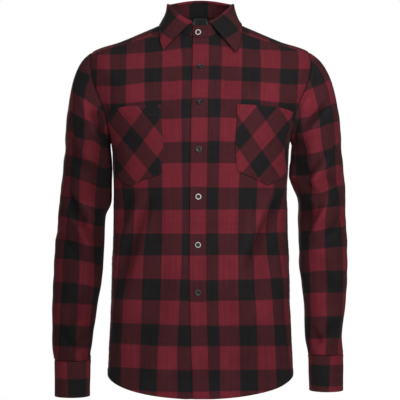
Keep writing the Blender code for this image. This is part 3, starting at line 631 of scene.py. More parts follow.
# height, and how far the middle of the band lies to the wearer's left
FRONT_LINE = numbers("-740 2  -620 -2  -517 -4.8  -424 -4.8  -331 -4  -240 -3  -150 -1.5  -60 0.5  0 1", 2)


def ring_at_height(turn, height):
    rings = np.linspace(ARMPIT_RING, LAST_RING, 400)
    heights = plain_body(np.full_like(rings, turn), rings)[:, 2]
    return float(np.interp(-height, -heights, rings))


def hem_height(turn):
    tail = FRONT_TAIL if math.cos(turn) >= 0.0 else BACK_TAIL
    return HEM_SIDE - tail * abs(math.cos(turn))


def armhole_place(way):
    """Turn and ring of the left armhole seam: way is 0 at the shoulder tip and pi at the armpit."""
    bulge = ARMHOLE_FRONT if math.sin(way) >= 0.0 else ARMHOLE_BACK
    ring = TIP_RING + (ARMPIT_RING - TIP_RING) * 0.5 * (1.0 - math.cos(way))
    return 0.5 * math.pi - bulge * math.sin(way), ring


def armhole_places(ways):
    return np.array([armhole_place(way) for way in ways])


def armhole_path(start, end):
    return armhole_places(np.linspace(start, end, 240))


def front_drift(height):
    return float(np.interp(height, *(FRONT_LINE * MM).T))


def centre_turn(offset, ring):
    height = plain_body(0.0, ring)[2]
    return math.asin((offset + front_drift(height)) / (smooth_between(BODY_RINGS, ring)[0] * MM))


def centre_path(offset):
    """Down the front at a fixed distance from the middle of the band, from the hem up to the neck."""
    foot = ring_at_height(0.0, hem_height(0.0))
    low = [(centre_turn(offset, ring), ring) for ring in np.linspace(foot, ARMPIT_RING, 240)]
    high = [(centre_turn(offset, ring), ring) for ring in np.linspace(ARMPIT_RING, 0.0, 160)]
    return joined([low, high], [0.6, 1.0])


def side_path():
    foot = ring_at_height(0.5 * math.pi, hem_height(0.5 * math.pi))
    return np.array([(0.5 * math.pi, ring) for ring in np.linspace(foot, ARMPIT_RING, 240)])


def hem_path(start, end):
    return np.array([(turn, ring_at_height(turn, hem_height(turn))) for turn in np.linspace(start, end, 160)])


def yoke_seam():
    end = np.array(armhole_place(YOKE_CORNER_FRONT))
    rings = np.linspace(0.0, end[1], 120)
    turns = YOKE_SEAM_TURN + YOKE_SEAM_GAIN * rings
    turns += (end[0] - turns[-1]) * rings / end[1]
    return np.stack([turns, rings], axis=-1)


def place_on_body(x, z, back=False):
    """The turn and ring where the body is at x and z, seen square on."""
    rings = np.linspace(0.0, LAST_RING, 1600)
    half = smooth_between(BODY_RINGS, rings)[:, 0] * MM
    turns = np.arcsin(np.clip(x / half, -1.0, 1.0))
    if back:
        turns = math.pi - turns
    heights = plain_body(turns, rings)[:, 2]
    crossed = (heights[:-1] >= z) & (heights[1:] < z) & (half[1:] > abs(x))
    low = int(np.flatnonzero(crossed)[-1])
    part = (heights[low] - z) / (heights[low] - heights[low + 1])
    return np.array([turns[low] + part * (turns[low + 1] - turns[low]), rings[low] + part * rings[1]])


print("side seam is", round(travelled(plain_body(*side_path().T))[-1] / MM), "mm long")

# %% [markdown]
# ## From a grid to a piece of cloth
# A grid becomes a thin closed shell: an outer skin, an inner skin a cloth's thickness inside, and rims
# between them with their own row of points. Its UV map can break at a seam without opening the mesh.

# %% Shell maker
def grid_normals(grid, round_way=False):
    if round_way:
        beside = np.roll(grid, -1, axis=1) - np.roll(grid, 1, axis=1)
    else:
        beside = np.gradient(grid, axis=1)
    return unit(np.cross(beside, np.gradient(grid, axis=0)))


def edge_distances(grid, round_way=False):
    """How far each point is from the four edges of its grid, along the grid's own lines, in metres."""
    first = travelled(grid)
    far = {"bottom": first, "top": first[-1:] - first}
    if not round_way:
        start = travelled(grid, axis=1)
        far["left"], far["right"] = start, start[:, -1:] - start
    return far


def closed(grid):
    """A grid that goes all the way round, with its first column again after its last."""
    return np.concatenate([grid, grid[:, :1]], axis=1)


def quads(grid, flipped):
    """Faces between the rows and columns of a grid of point numbers."""
    faces = np.stack([grid[:-1, :-1], grid[:-1, 1:], grid[1:, 1:], grid[1:, :-1]], axis=-1).reshape(-1, 4)
    return faces[:, ::-1] if flipped else faces


def cloth_mesh(name, outer, normal, check, finish, thickness, outward, painted_shading=None, round_way=False):
    """A closed shell of cloth. outward is 1 or -1, whichever turns the grid's own normals outwards."""
    points = [outer.reshape(-1, 3), (outer - thickness * normal).reshape(-1, 3)]
    skin = len(points[0])
    index = np.arange(skin).reshape(outer.shape[:2])
    index = closed(index) if round_way else index
    number = np.arange(check[..., 0].size).reshape(check.shape[:2])
    faces = [quads(index, outward < 0), quads(index, outward > 0) + skin]
    uvs = [quads(number, outward < 0), quads(number, outward > 0)]
    rims = [(index[0], number[0], index[1], 1), (index[-1], number[-1], index[-2], -1)]
    if not round_way:
        rims += [(index[:, 0], number[:, 0], index[:, 1], -1), (index[:, -1], number[:, -1], index[:, -2], 1)]
    count = 2 * skin
    for line, place, inside, turn in rims:
        away = unit(points[0][line] - points[0][inside])
        middle = 0.5 * (points[0][line] + points[1][line]) + 0.1 * thickness * away
        mid_index = count + np.arange(len(middle))
        if round_way:
            middle, mid_index[-1] = middle[:-1], count
        points.append(middle)
        count += len(middle)
        flip = -1 if turn * outward < 0 else 1
        for first, second in ((line, mid_index), (mid_index, line + skin)):
            faces.append(np.stack([first[:-1], second[:-1], second[1:], first[1:]], axis=-1)[:, ::flip])
            uvs.append(np.stack([place[:-1], place[:-1], place[1:], place[1:]], axis=-1)[:, ::flip])
    points, faces, uvs = np.concatenate(points), np.concatenate(faces), np.concatenate(uvs)
    data = bpy.data.meshes.new(name)
    data.vertices.add(len(points))
    data.vertices.foreach_set("co", points.ravel())
    data.loops.add(faces.size)
    data.loops.foreach_set("vertex_index", faces.ravel().astype(np.int32))
    data.polygons.add(len(faces))
    data.polygons.foreach_set("loop_start", np.arange(0, faces.size, 4, dtype=np.int32))
    data.update(calc_edges=True)
    layer = data.uv_layers.new(name="check")
    layer.data.foreach_set("uv", check.reshape(-1, 2)[uvs.ravel()].ravel())
    # painted shade and painted highlight per point: positive values darken the cloth's colour and negative ones
    # lighten it
    painted_shading_per_point = np.zeros(len(points))
    if painted_shading is not None:
        painted_shading_per_point[: 2 * skin] = np.tile(painted_shading.ravel(), 2)
    data.attributes.new("painted_shade_and_highlight", "FLOAT", "POINT").data.foreach_set("value", painted_shading_per_point)
    data.materials.append(finish)
    data.validate()
    data.shade_smooth()
    print(name, "has", 2 * len(faces), "triangles")
    return placed(name, data)


def cloth_area(grid, round_way=False):
    grid = closed(grid) if round_way else grid
    one = np.cross(grid[:-1, 1:] - grid[:-1, :-1], grid[1:, :-1] - grid[:-1, :-1])
    two = np.cross(grid[:-1, 1:] - grid[1:, 1:], grid[1:, :-1] - grid[1:, 1:])
    return 0.5 * float(np.linalg.norm(one, axis=-1).sum() + np.linalg.norm(two, axis=-1).sum())


PIECES, CUTS, STITCH_LINES = {}, {}, []


def line_inside(grid, normal, side, away, keep=(0.0, 1.0), round_way=False):
    """A line on a grid at a distance from one of its edges, in millimetres, just above its surface."""
    far = edge_distances(grid, round_way)[side]
    surface = grid + 0.12 * MM * normal
    if side in ("left", "right"):
        far, surface = far.T, surface.transpose(1, 0, 2)
    if side in ("top", "right"):
        far, surface = far[::-1], surface[::-1]
    first, last = int(keep[0] * (far.shape[1] - 1)), int(keep[1] * (far.shape[1] - 1))
    line = []
    for column in range(first, last + 1):
        line.append([np.interp(away * MM, far[:, column], surface[:, column, k]) for k in range(3)])
    if round_way:
        line.append(line[0])
    return np.array(line)


def sew(name, outer, check, outward, stitches, thickness, round_way=False, normal=None, painted_shading=None, finish=None):
    """A piece of cloth with its stitch lines. check holds u and v in millimetres of cloth. The width,
    length and area of what shows of the piece are kept, as it was cut."""
    if normal is None:
        normal = grid_normals(outer, round_way) * outward
    check = np.stack(list(check), axis=-1) * MM
    PIECES[name] = cloth_mesh(
        name, outer, normal, check, finish or FLANNEL, thickness, outward, painted_shading, round_way
    )
    width = travelled(closed(outer) if round_way else outer, axis=1)[:, -1].max()
    CUTS[name] = (float(width), float(travelled(outer)[-1].max()), cloth_area(outer, round_way))
    STITCH_LINES.extend(line_inside(outer, normal, *line, round_way=round_way) for line in stitches)
    return outer, normal

# %% [markdown]
# ## Yarn, check and nap
# Flannel is a twill: where a dark column crosses a red row it shows fine diagonal lines of both, which
# the eye mixes to maroon. The group below weaves that from the UV map, then brushes it: the nap blurs
# the lines, and a thicker yarn leaves a faint streak. It gives a colour and a height.

# %% Small helpers for node trees
class Value:
    """A number on its way through a node tree. Arithmetic on it adds the math nodes."""

    def __init__(self, tree, socket):
        self.tree, self.socket = tree, socket

    def math(self, operation, *others):
        node = add_node(self.tree, "ShaderNodeMath", enumerate((self, *others)), operation=operation)
        return Value(self.tree, node.outputs[0])

    def __add__(self, other):
        return self.math("ADD", other)

    def __sub__(self, other):
        return self.math("SUBTRACT", other)

    def __mul__(self, other):
        return self.math("MULTIPLY", other)

    def __truediv__(self, other):
        return self.math("DIVIDE", other)

    def __abs__(self):
        return self.math("ABSOLUTE")

    def step(self, low, high):
        inputs = {"Value": self, "From Min": low, "From Max": high}
        node = add_node(self.tree, "ShaderNodeMapRange", inputs, interpolation_type="SMOOTHSTEP")
        return Value(self.tree, node.outputs["Result"])


def feed(tree, node, inputs):
    """Sets the inputs of a node, or links them to what comes from other nodes."""
    for place, value in dict(inputs).items():
        value = value.socket if isinstance(value, Value) else value
        if isinstance(value, bpy.types.NodeSocket):
            tree.links.new(value, node.inputs[place])
        else:
            node.inputs[place].default_value = value


def add_node(tree, kind, inputs=(), **settings):
    node = tree.nodes.new(kind)
    for name, value in settings.items():
        setattr(node, name, value)
    feed(tree, node, inputs)
    return node


def mix_colours(tree, share, first, second):
    return add_node(tree, "ShaderNodeMix", {0: share, 6: first, 7: second}, data_type="RGBA").outputs[2]


def scale_colour(tree, colour, scale):
    return add_node(tree, "ShaderNodeVectorMath", {0: colour, "Scale": scale}, operation="SCALE").outputs[0]


def fine_noise(tree, place, scale, detail=2.0, roughness=0.5, distortion=0.0):
    inputs = {"Vector": place, "Scale": scale, "Detail": detail, "Roughness": roughness}
    node = add_node(tree, "ShaderNodeTexNoise", {**inputs, "Distortion": distortion})
    return Value(tree, node.outputs["Fac"])


def streaky_noise(tree, place, across, down):
    drawn_out = add_node(tree, "ShaderNodeMapping", {"Vector": place, "Scale": (across, down, 1.0)})
    return fine_noise(tree, drawn_out.outputs[0], 1.0, 3.0)


def bump(tree, height, distance, **more):
    inputs = {"Height": height, "Distance": distance, **{name.title(): value for name, value in more.items()}}
    return add_node(tree, "ShaderNodeBump", inputs).outputs[0]


def separate(tree, place):
    parts = add_node(tree, "ShaderNodeSeparateXYZ", {0: place})
    return Value(tree, parts.outputs[0]), Value(tree, parts.outputs[1])


def attribute(tree, name):
    return Value(tree, add_node(tree, "ShaderNodeAttribute", attribute_name=name).outputs["Fac"])


def check_place(tree):
    return add_node(tree, "ShaderNodeUVMap", uv_map="check").outputs[0]


def object_place(tree):
    return add_node(tree, "ShaderNodeTexCoord").outputs["Object"]


def new_group(name, kind, inputs, outputs):
    """A node group with its input and output nodes. Sockets are label, kind and, if wanted, value."""
    tree = bpy.data.node_groups.new(name, kind)
    for direction, sockets in (("INPUT", inputs), ("OUTPUT", outputs)):
        for label, socket_kind, *value in sockets:
            socket = tree.interface.new_socket(label, in_out=direction, socket_type="NodeSocket" + socket_kind)
            if value:
                socket.default_value = value[0]
    return tree, add_node(tree, "NodeGroupInput").outputs, add_node(tree, "NodeGroupOutput")


def make_finish(name, shader_inputs):
    """A material. shader_inputs builds its nodes and gives what goes into its Principled BSDF."""
    finish = bpy.data.materials.new(name)
    finish.use_nodes = True
    tree = finish.node_tree
    feed(tree, tree.nodes["Principled BSDF"], shader_inputs(tree))
    return finish


print("node helpers ready")

# %% Woven check as a node group
def make_woven_check():
    tree, start, end = new_group(
        "woven_check", "ShaderNodeTree",
        [
            ("Cloth", "Vector"),
            ("Red Yarn", "Color", (0.17, 0.022, 0.030, 1.0)),
            ("Dark Yarn", "Color", (0.012, 0.011, 0.013, 1.0)),
            ("Twill Pitch", "Float", 0.0018), ("Dark Share", "Float", 0.61),
            ("Nap", "Float", 0.16), ("Streaks", "Float", 0.19),
        ],
        [("Color", "Color"), ("Height", "Float")],
    )
    cloth, red, dark = (start[label] for label in ("Cloth", "Red Yarn", "Dark Yarn"))
    u, v = separate(tree, cloth)
    fuzz = fine_noise(tree, cloth, 620.0, 3.0, 0.7)

    def dark_band(value, red, period):
        # the nap carries the colours a little over the line
        turned = (fuzz.math("MULTIPLY_ADD", 2.4 * MM, value) - (0.5 * red + 1.2) * MM) / (period * MM)
        apart = abs((turned + 0.5).math("FRACT") - 0.5)
        edge = 0.5 * red / period
        return apart.step(edge - 1.3 / period, edge + 1.3 / period)

    warp_dark = dark_band(u, RED_COLUMN, COLUMN_PERIOD)
    weft_dark = dark_band(v, RED_ROW, ROW_PERIOD)
    line = ((u * 1.12 + v) / start["Twill Pitch"]).math("FRACT")
    over = abs(line - 0.5).step(0.13, 0.37)
    lean = (Value(tree, start["Dark Share"]) - 0.5) * (weft_dark - warp_dark)
    lean = lean * (abs(warp_dark - weft_dark) * 2.0)
    share = over.math("MULTIPLY_ADD", 0.8, 0.1) + lean
    warp, weft = (mix_colours(tree, darkness, red, dark) for darkness in (warp_dark, weft_dark))
    woven = mix_colours(tree, share, warp, weft)

    down, across = streaky_noise(tree, cloth, 240.0, 7.0), streaky_noise(tree, cloth, 9.0, 330.0)
    streaks = down.math("MULTIPLY_ADD", 1.5, across) - 1.25
    cloudy = fine_noise(tree, cloth, 38.0, 3.0, 0.55)
    light = streaks * start["Streaks"] + (fuzz - 0.5) * start["Nap"] + (cloudy - 0.5) * start["Nap"]
    feed(tree, end, {
        "Color": scale_colour(tree, woven, light.math("MULTIPLY_ADD", 2.0, 1.0)),
        "Height": over.math("MULTIPLY_ADD", 0.25, fuzz * 0.5) + streaks * 0.35,
    })
    return tree


WOVEN_CHECK = make_woven_check()
print("woven_check has", len(WOVEN_CHECK.nodes), "nodes")

# %% Soft rumples as a node group
def make_soft_rumple():
    """Shallow unevenness of brushed cloth that is too fine for the grids, from Object coordinates."""
    tree, start, end = new_group(
        "soft_rumple", "ShaderNodeTree",
        [("Place", "Vector"), ("Size", "Float", 70.0), ("Stretch", "Float", 0.6)], [("Height", "Float")],
    )
    squeeze = add_node(tree, "ShaderNodeCombineXYZ", {0: 1.0, 1: 1.0, 2: start["Stretch"]}).outputs[0]
    place = add_node(tree, "ShaderNodeVectorMath", {0: start["Place"], 1: squeeze}, operation="MULTIPLY")
    feed(tree, end, {"Height": fine_noise(tree, place.outputs[0], start["Size"], distortion=0.6)})
    return tree


SOFT_RUMPLE = make_soft_rumple()
print("soft_rumple has", len(SOFT_RUMPLE.nodes), "nodes")

# %% Flannel material
def flannel(tree):
    yarns = {"Red Yarn": (0.172, 0.0200, 0.0305, 1.0), "Dark Yarn": (0.0145, 0.0134, 0.0145, 1.0)}
    woven = add_node(tree, "ShaderNodeGroup", node_tree=WOVEN_CHECK)
    feed(tree, woven, {"Cloth": check_place(tree), **yarns})
    soft = add_node(tree, "ShaderNodeGroup", {"Place": object_place(tree)}, node_tree=SOFT_RUMPLE)
    broad = bump(tree, soft.outputs["Height"], 0.0011, strength=0.8)
    # painted shade and highlight: the colour is scaled down where the points carry painted shade and up where
    # they carry a painted highlight
    keep = attribute(tree, "painted_shade_and_highlight").math("MULTIPLY_ADD", -0.5, 1.0)
    return {
        "Base Color": scale_colour(tree, woven.outputs["Color"], keep),
        "Normal": bump(tree, woven.outputs["Height"], 0.00022, strength=0.6, normal=broad),
        "Roughness": 0.92, "Specular IOR Level": 0.10,
        "Sheen Weight": 0.05, "Sheen Roughness": 0.45, "Sheen Tint": (1.0, 0.72, 0.72, 1.0),
    }


FLANNEL = make_finish("red_check_flannel", flannel)
print("flannel material made")

# %% [markdown]
# ## Seams and hems
# A seam is a shallow groove with a soft ridge beside it, and it puckers a little because thread is
# shorter than cloth. A hem is turned up twice, so it stands proud up to its stitch line.

# %% Relief beside an edge
CLOTH_THICKNESS = 1.0 * MM


def puckers(length, seed):
    """A wave along a seam, with uneven spacing, between about -1 and 1."""
    dice = np.random.default_rng(seed)
    total = np.zeros_like(length)
    for _ in range(5):
        total += np.sin(length * 2.0 * math.pi / dice.uniform(6.5, 17.0) + dice.uniform(0.0, 6.28))
    return total / 2.6


def seam_relief(far, kinds, seed):
    """Height in metres, and painted shade beside the edges of a grid, from its distances to them."""
    height, shade = np.zeros_like(far["bottom"]), np.zeros_like(far["bottom"])
    for number, (side, kind) in enumerate(kinds.items()):
        away = far[side] / MM
        run = far["left" if side in ("top", "bottom") and "left" in far else "bottom"] / MM
        if side in ("top", "bottom") and "left" not in far:
            run = np.broadcast_to(np.arange(height.shape[1]) * STEP, height.shape)
        wave = puckers(run, seed + number)
        if kind == "seam":
            height -= 0.40 * MM * bell(away, 1.3)
            height += 0.32 * MM * smooth_step((away - 0.6) / 2.0) * smooth_step((9.0 - away) / 3.0)
            height += 0.20 * MM * wave * bell(away, 6.0, 6.0)
            # painted shade in the groove of the seam
            shade += 0.6 * bell(away, 1.2)
        elif kind == "hem":
            height += 0.55 * MM * smooth_step((9.6 - away) / 2.4)
            height += 0.35 * MM * wave * bell(away, 7.0, 8.0)
            # painted shade along the stitch line of the turned hem
            shade += 0.5 * bell(away, 0.9, 9.4)
        elif kind == "edge":
            height -= MM * (0.25 * bell(away, 1.0) + 0.10 * bell(away, 0.9, 5.0))
            height += 0.10 * MM * wave * bell(away, 4.0, 4.0)
            # painted shade along the edge and along its stitch line
            shade += 0.40 * bell(away, 0.9) + 0.16 * bell(away, 0.9, 5.0)
    return height, np.clip(shade, 0.0, 1.0)


def fold_shade_and_highlight(height):
    """Painted shade in a trough and painted highlight on a ridge, from the height of the crease."""
    return np.clip(-height / (8.0 * MM), -0.45, 0.65)


def body_panel(name, places, check, outward, kinds, seed, stitches, rise=0.0, thickness=CLOTH_THICKNESS):
    """A panel of the body over a grid of turns and rings, raised or sunk by rise where it is given."""
    outer = cloth_point(places[..., 0], places[..., 1])
    normal = grid_normals(outer) * outward
    sunk = ((outer - form_point(places[..., 0], places[..., 1])) * normal).sum(axis=-1)
    height, shade = seam_relief(edge_distances(outer), kinds, seed)
    # painted shade where the creases sink the cloth, and painted highlight where they raise it
    shade = shade + fold_shade_and_highlight(sunk)
    height = height + rise
    return sew(name, outer + height[..., None] * normal, check, outward, stitches, thickness, painted_shading=shade)


print("seam and hem helpers ready")

# %% [markdown]
# ## The two fronts
# The left front carries the buttonhole band on its edge. The right front runs on under the band as the
# lap that holds the buttons, and sinks there below the surface by the band's thickness.

# %% Fronts
BAND_HALF = 16.5 * MM
BAND_RISE = 0.5 * MM
BAND_CLOTH = 2.1 * MM
LAID_GAP = 0.5 * MM
LAP_EDGE = 14.5 * MM
LAP_BLEND = 14.0 * MM


def front_patch(side):
    left = centre_path(BAND_HALF if side == "left" else -BAND_HALF - LAP_BLEND)
    if side == "right":
        left = (left[0], mirrored(left[1]))
    right = joined([side_path(), armhole_path(math.pi, YOKE_CORNER_FRONT)], [0.6, 1.0])
    neck = np.linspace(left[1][-1], (YOKE_SEAM_TURN, 0.0), 60)
    top = joined([neck, yoke_seam()], [1.0 / 3.0, 1.0])
    places = patch(joined([hem_path(left[1][0][0], 0.5 * math.pi)]), top, left, right)
    return places if side == "left" else mirrored(places)


left_front_places = front_patch("left")
FRONT_EDGES = {"bottom": "hem", "right": "seam", "top": "seam"}
FRONT_STITCHES = [("bottom", 8.6), ("right", 2.6)]
check = front_check("left", left_front_places)
body_panel("front_left_cloth", left_front_places, check, 1, FRONT_EDGES, 11, FRONT_STITCHES)

under_offsets = np.linspace(LAP_EDGE, -BAND_HALF - LAP_BLEND, 16)
right_patch = front_patch("right")
up_shares = spaced(path_length(centre_path(-BAND_HALF - LAP_BLEND)))
under_places = np.stack([along(centre_path(offset), up_shares) for offset in under_offsets[:-1]], axis=1)
right_front_places = np.concatenate([under_places, right_patch], axis=1)
lap_rise = np.zeros(right_front_places.shape[:2])
sunk = smooth_step((under_offsets[:-1] + BAND_HALF + LAP_BLEND) / (LAP_BLEND - 0.5 * MM))
lap_rise[:, : len(sunk)] = -(BAND_CLOTH - BAND_RISE + LAID_GAP) * sunk
check = front_check("right", right_front_places)
body_panel("front_right_cloth", right_front_places, check, -1, FRONT_EDGES, 23, FRONT_STITCHES, rise=lap_rise)
held = [round(CUTS[f"front_{side}_cloth"][2], 3) for side in SIDES]
print("front panels hold", held[0], "and", held[1], "m2")

# %% Front band
band_offsets = np.concatenate([
    np.array([-16.5, -15.8, -14.6, -13.0]), np.linspace(-10.4, 10.4, 8), np.array([13.0, 14.6, 15.8, 16.2]),
]) * MM
band_shares = spaced(path_length(centre_path(0.0)), step=3.2)
band_places = np.stack([along(centre_path(offset), band_shares) for offset in band_offsets], axis=1)
band_point = form_point(band_places[..., 0], band_places[..., 1])
band_x, band_z = seen(band_point)
band_v = read_rows(np.abs(band_x), band_z, FRONT_ROWS["band"], FRONT_ROW_EDGES)
band_u = np.broadcast_to(band_offsets / MM + 0.5 * RED_COLUMN, band_v.shape)
rounded = np.clip((np.abs(band_offsets) / MM - 12.5) / 4.0, 0.0, 1.0) ** 2
swell = 0.18 * MM * puckers(np.broadcast_to(band_z, band_v.shape), 77) * (1.0 - rounded)
band = body_panel(
    "front_band_cloth", band_places, (band_u, band_v), 1, {"left": "edge", "right": "edge"}, 31,
    [("left", 5.2), ("right", 5.2)], rise=BAND_RISE - 0.35 * MM * rounded + swell, thickness=1.8 * MM,
)
print("band is", round(CUTS["front_band_cloth"][2], 4), "m2")

# %% Seam allowances behind the band
# each front turns in behind the band, so the seams let no light through above the hem
for front, middle in (("front_left_cloth", 16.4), ("front_right_cloth", -16.7)):
    lines = [along(centre_path((middle + aside) * MM), band_shares[:-3]) for aside in (-5.0, 0.0, 5.0)]
    behind = np.stack(lines, axis=1)
    base = cloth_point(behind[..., 0], behind[..., 1])
    base = base - 2.5 * MM * grid_normals(base)
    check = np.broadcast_to(np.array([0.5 * RED_COLUMN, 0.5 * DARK_ROW]) * MM, (*base.shape[:2], 2))
    # painted shade: the strips behind the band are darkened in full
    painted_shading_per_point = np.ones(base.shape[:2])
    strip = cloth_mesh("allowance", base, grid_normals(base), check, FLANNEL, 0.5 * MM, 1, painted_shading_per_point)
    both = bmesh.new()
    both.from_mesh(PIECES[front].data)
    both.from_mesh(strip.data)
    both.to_mesh(PIECES[front].data)
    both.free()
    bpy.data.meshes.remove(strip.data)

# %% [markdown]
# ## Back and yoke
# The back is one panel with a long tail. The doubled yoke wraps over the shoulders. Its check lies
# square to the back, so at the front it meets the fronts' check at an angle.

# %% Back panel
def back_yoke_seam():
    """The level seam under the yoke, from the left armhole to the right."""
    turn, ring = armhole_place(FULL_TURN - YOKE_CORNER_BACK)
    corner = plain_body(turn, ring)
    half = [place_on_body(x, corner[2], back=True) for x in np.linspace(corner[0], 0.0, 40)[1:]]
    half = np.array([(turn, ring), *half])
    return np.concatenate([half, mirrored(half[::-1][1:], FULL_TURN)])


back_right = joined([side_path(), armhole_path(math.pi, FULL_TURN - YOKE_CORNER_BACK)], [0.65, 1.0])
back_left = (back_right[0], mirrored(back_right[1], FULL_TURN))
back_hem = joined([hem_path(0.5 * math.pi, 1.5 * math.pi)])
back_places = patch(back_hem, joined([back_yoke_seam()]), back_right, back_left)
body_panel(
    "back_cloth", back_places, back_check(back_places), 1,
    {"bottom": "hem", "left": "seam", "right": "seam", "top": "seam"}, 41,
    [("bottom", 8.6), ("left", 2.6), ("right", 2.6)],
)
print("back panel is", round(CUTS["back_cloth"][2], 3), "m2")

# %% Yoke
YOKE_COLUMN_SCALE = 1.068
YOKE_STEP = 3.4
over_ways = np.concatenate([
    np.linspace(FULL_TURN + YOKE_CORNER_FRONT, FULL_TURN, 40),
    np.linspace(FULL_TURN, FULL_TURN - YOKE_CORNER_BACK, 80)[1:],
])
left_arm = armhole_places(over_ways)
right_arm = mirrored(left_arm[::-1], FULL_TURN)
yoke_outer_path = joined([left_arm, back_yoke_seam(), right_arm], [0.25, 0.75, 1.0])
neck_share = np.linspace(0.0, 1.0, 400)
outer_along = along(yoke_outer_path, neck_share)
outer_points = plain_body(outer_along[:, 0], outer_along[:, 1])
angles = np.unwrap(np.arctan2(outer_points[:, 0], -(outer_points[:, 1] - BODY_RINGS[0][1] * MM)))
fanned = (angles - angles[0]) / (angles[-1] - angles[0])
neck_turn = YOKE_SEAM_TURN + (0.6 * fanned + 0.4 * neck_share) * 2.0 * (math.pi - YOKE_SEAM_TURN)
yoke_neck_path = (neck_share, np.stack([neck_turn, np.zeros_like(neck_turn)], axis=-1))
yoke_left_path = joined([yoke_seam()[::-1]])
yoke_right_path = (yoke_left_path[0], mirrored(yoke_left_path[1], FULL_TURN))
yoke_places = patch(yoke_outer_path, yoke_neck_path, yoke_left_path, yoke_right_path, YOKE_STEP)
yoke_form = form_point(yoke_places[..., 0], yoke_places[..., 1])
yoke_u = np.abs(yoke_form[..., 0]) / MM / YOKE_COLUMN_SCALE - 0.5 * DARK_COLUMN
from_front = np.minimum(edge_distances(yoke_form)["left"], edge_distances(yoke_form)["right"]) / MM
# rows follow the front seams on the strip that shows in front, and lie level on the back
middle_line = yoke_form[:, yoke_form.shape[1] // 2]
risen = np.interp(yoke_form[..., 2], middle_line[:, 2], travelled(middle_line)) / MM
over = (np.abs(from_front - 65.0) < 12.0) & (np.abs(yoke_form[..., 0]) > 0.06)
level_v = risen - (risen + from_front)[over].mean() + 5.0
yoke_v = 5.0 - from_front
yoke_v += smooth_step((from_front - 42.0) / 46.0) * (level_v - yoke_v)
body_panel(
    "yoke_cloth", yoke_places, (yoke_u, yoke_v), 1, {"bottom": "seam", "left": "seam", "right": "seam"}, 53,
    [("left", 2.0), ("right", 2.0), ("bottom", 2.0, (0.24, 0.76))],
)
print("yoke is", round(CUTS["yoke_cloth"][2], 3), "m2")


# %% [markdown]
# ## Sleeves
# A sleeve is a tube that leaves the armhole seam in its own direction all round, then settles into an
# arm's shape, bent a little forward at the elbow. Its check has its own tables, and breaks at the
# underarm seam, where the two ends of the cloth meet.

# %% Sleeve tables
# height, outer and inner reach from the middle of the shirt, y of the middle, half depth
SLEEVE_SECTIONS = {
    "right": numbers("""
-235 272 181 6 71
-290 276 178 7 67
-342 282 178 7 63
-372 286 190 5 60
-414 289 191 2 58
-462 292 193 -4 55
-509 294 198 -11 52
-557 295 206 -19 49
-604 294 213 -28 46
-637 292 216.5 -35 43
-653 288 217 -38 40.5
""", 5),
    "left": numbers("""
-235 283 181 6 71
-290 287 179 7 67
-314 289 185 7 65
-338 290 194 6 63
-378 291 195 5 60
-426 293 196 1 57
-470 293 197 -5 54.5
-512 292 202 -12 52
-556 287 206 -19 49
-604 280 207 -28 46
-642 282 213 -36 40.5
""", 5),
}
CAP_FULLNESS = {"right": 0.74, "left": 0.86}
CAP_FALL = 1.12
# degrees round the sleeve, spread, height, slant for each quarter turn, reach, depth
SLEEVE_FOLDS = {
    "right": numbers("""
75 60 -190 60 16 4
60 70 -372 40 15 3.5
115 60 -428 -40 16 4
90 70 -560 30 16 3
250 60 -400 30 18 4
270 60 -500 -30 18 3
""", 6),
    "left": numbers("""
80 60 -180 60 16 4
110 60 -300 50 15 3.5
95 60 -395 50 15 4
80 70 -540 -30 16 3
255 60 -410 30 18 4
270 60 -520 -30 18 3
""", 6),
}
# heights and how far out: outer and inner edge of the dark column, and inner edge of the red one
SLEEVE_COLUMNS = {
    "right": [
        numbers("""
-88 252  -104 253  -124 253  -148 255  -168 257  -214 255  -238 257  -272 259  -292 261  -318 263  -354 265
-388 269  -438 273.6  -478 275.8  -524 278  -568 281  -608 284.2  -642 285
""", 2),
        numbers("""
-88 225  -104 223  -124 231.8  -148 231  -168 231.8  -214 231.8  -238 235  -272 239  -292 242  -318 243
-354 243.6  -388 245.4  -438 242.2  -478 241.8  -524 245  -568 246  -608 248.4  -642 249.4
""", 2),
        numbers("""
-174 208  -214 197  -238 201  -258 203  -292 205.4  -328 209  -368 213  -408 214  -448 212  -488 213  -528 214
-568 220  -608 222  -642 225
""", 2),
    ],
    "left": [
        numbers("""
-66 235  -102 251  -124 257  -148 262  -168 266  -190 268.6  -224 270  -248 269  -272 271  -312 274  -332 278.4
-368 279.6  -412 283  -454 284.6  -500 286.2  -546 284.4  -592 282.6  -628 274.2
""", 2),
        numbers("""
-66 221  -102 220  -124 226.8  -148 234  -168 236  -190 238  -224 242.2  -248 246  -272 251  -312 256.2
-332 256.2  -368 249  -412 248.6  -454 249.4  -500 253  -546 251  -592 252.2  -628 250.4
""", 2),
        numbers("""
-124 199  -190 201.4  -224 208  -268 214.2  -300 221.8  -332 221.8  -378 221  -412 215.8  -454 217  -500 220
-628 220
""", 2),
    ],
}
SLEEVE_COLUMN_EDGES = [-35.5, 0.0, 37.5]
SLEEVE_ROWS = {
    "right": numbers("""
-45 70 114 160 201 247.2 290 330 371 415.4 455.2 501.8 543.8 586.6 629.4
-18 80 128 168 214 253.2 293 334 375 419 456 503 544.6 588 631.2
19 98 146 182 220 258.6 304 348 384 428 462 508 547.2 590 634
48 122 162 206 234 273.2 314 356 390 432 468 512 547.2 590 634
""", 15),
    "left": numbers("""
-45 54 98 144 181 224 268 308 351.2 391 432 478 523.2 569 614
-18 66 108 152 186 236 271 313 351.2 392.6 432 478.6 523.2 570 614
19 74 122 172 198 244 282 324 355 400 437 479 524 570.6 616
48 82 124 176 206 248 290 326 360 400 438 483 524 571 616
""", 15),
}
SLEEVE_ROW_EDGES = row_edges(14, first_is_dark=True)
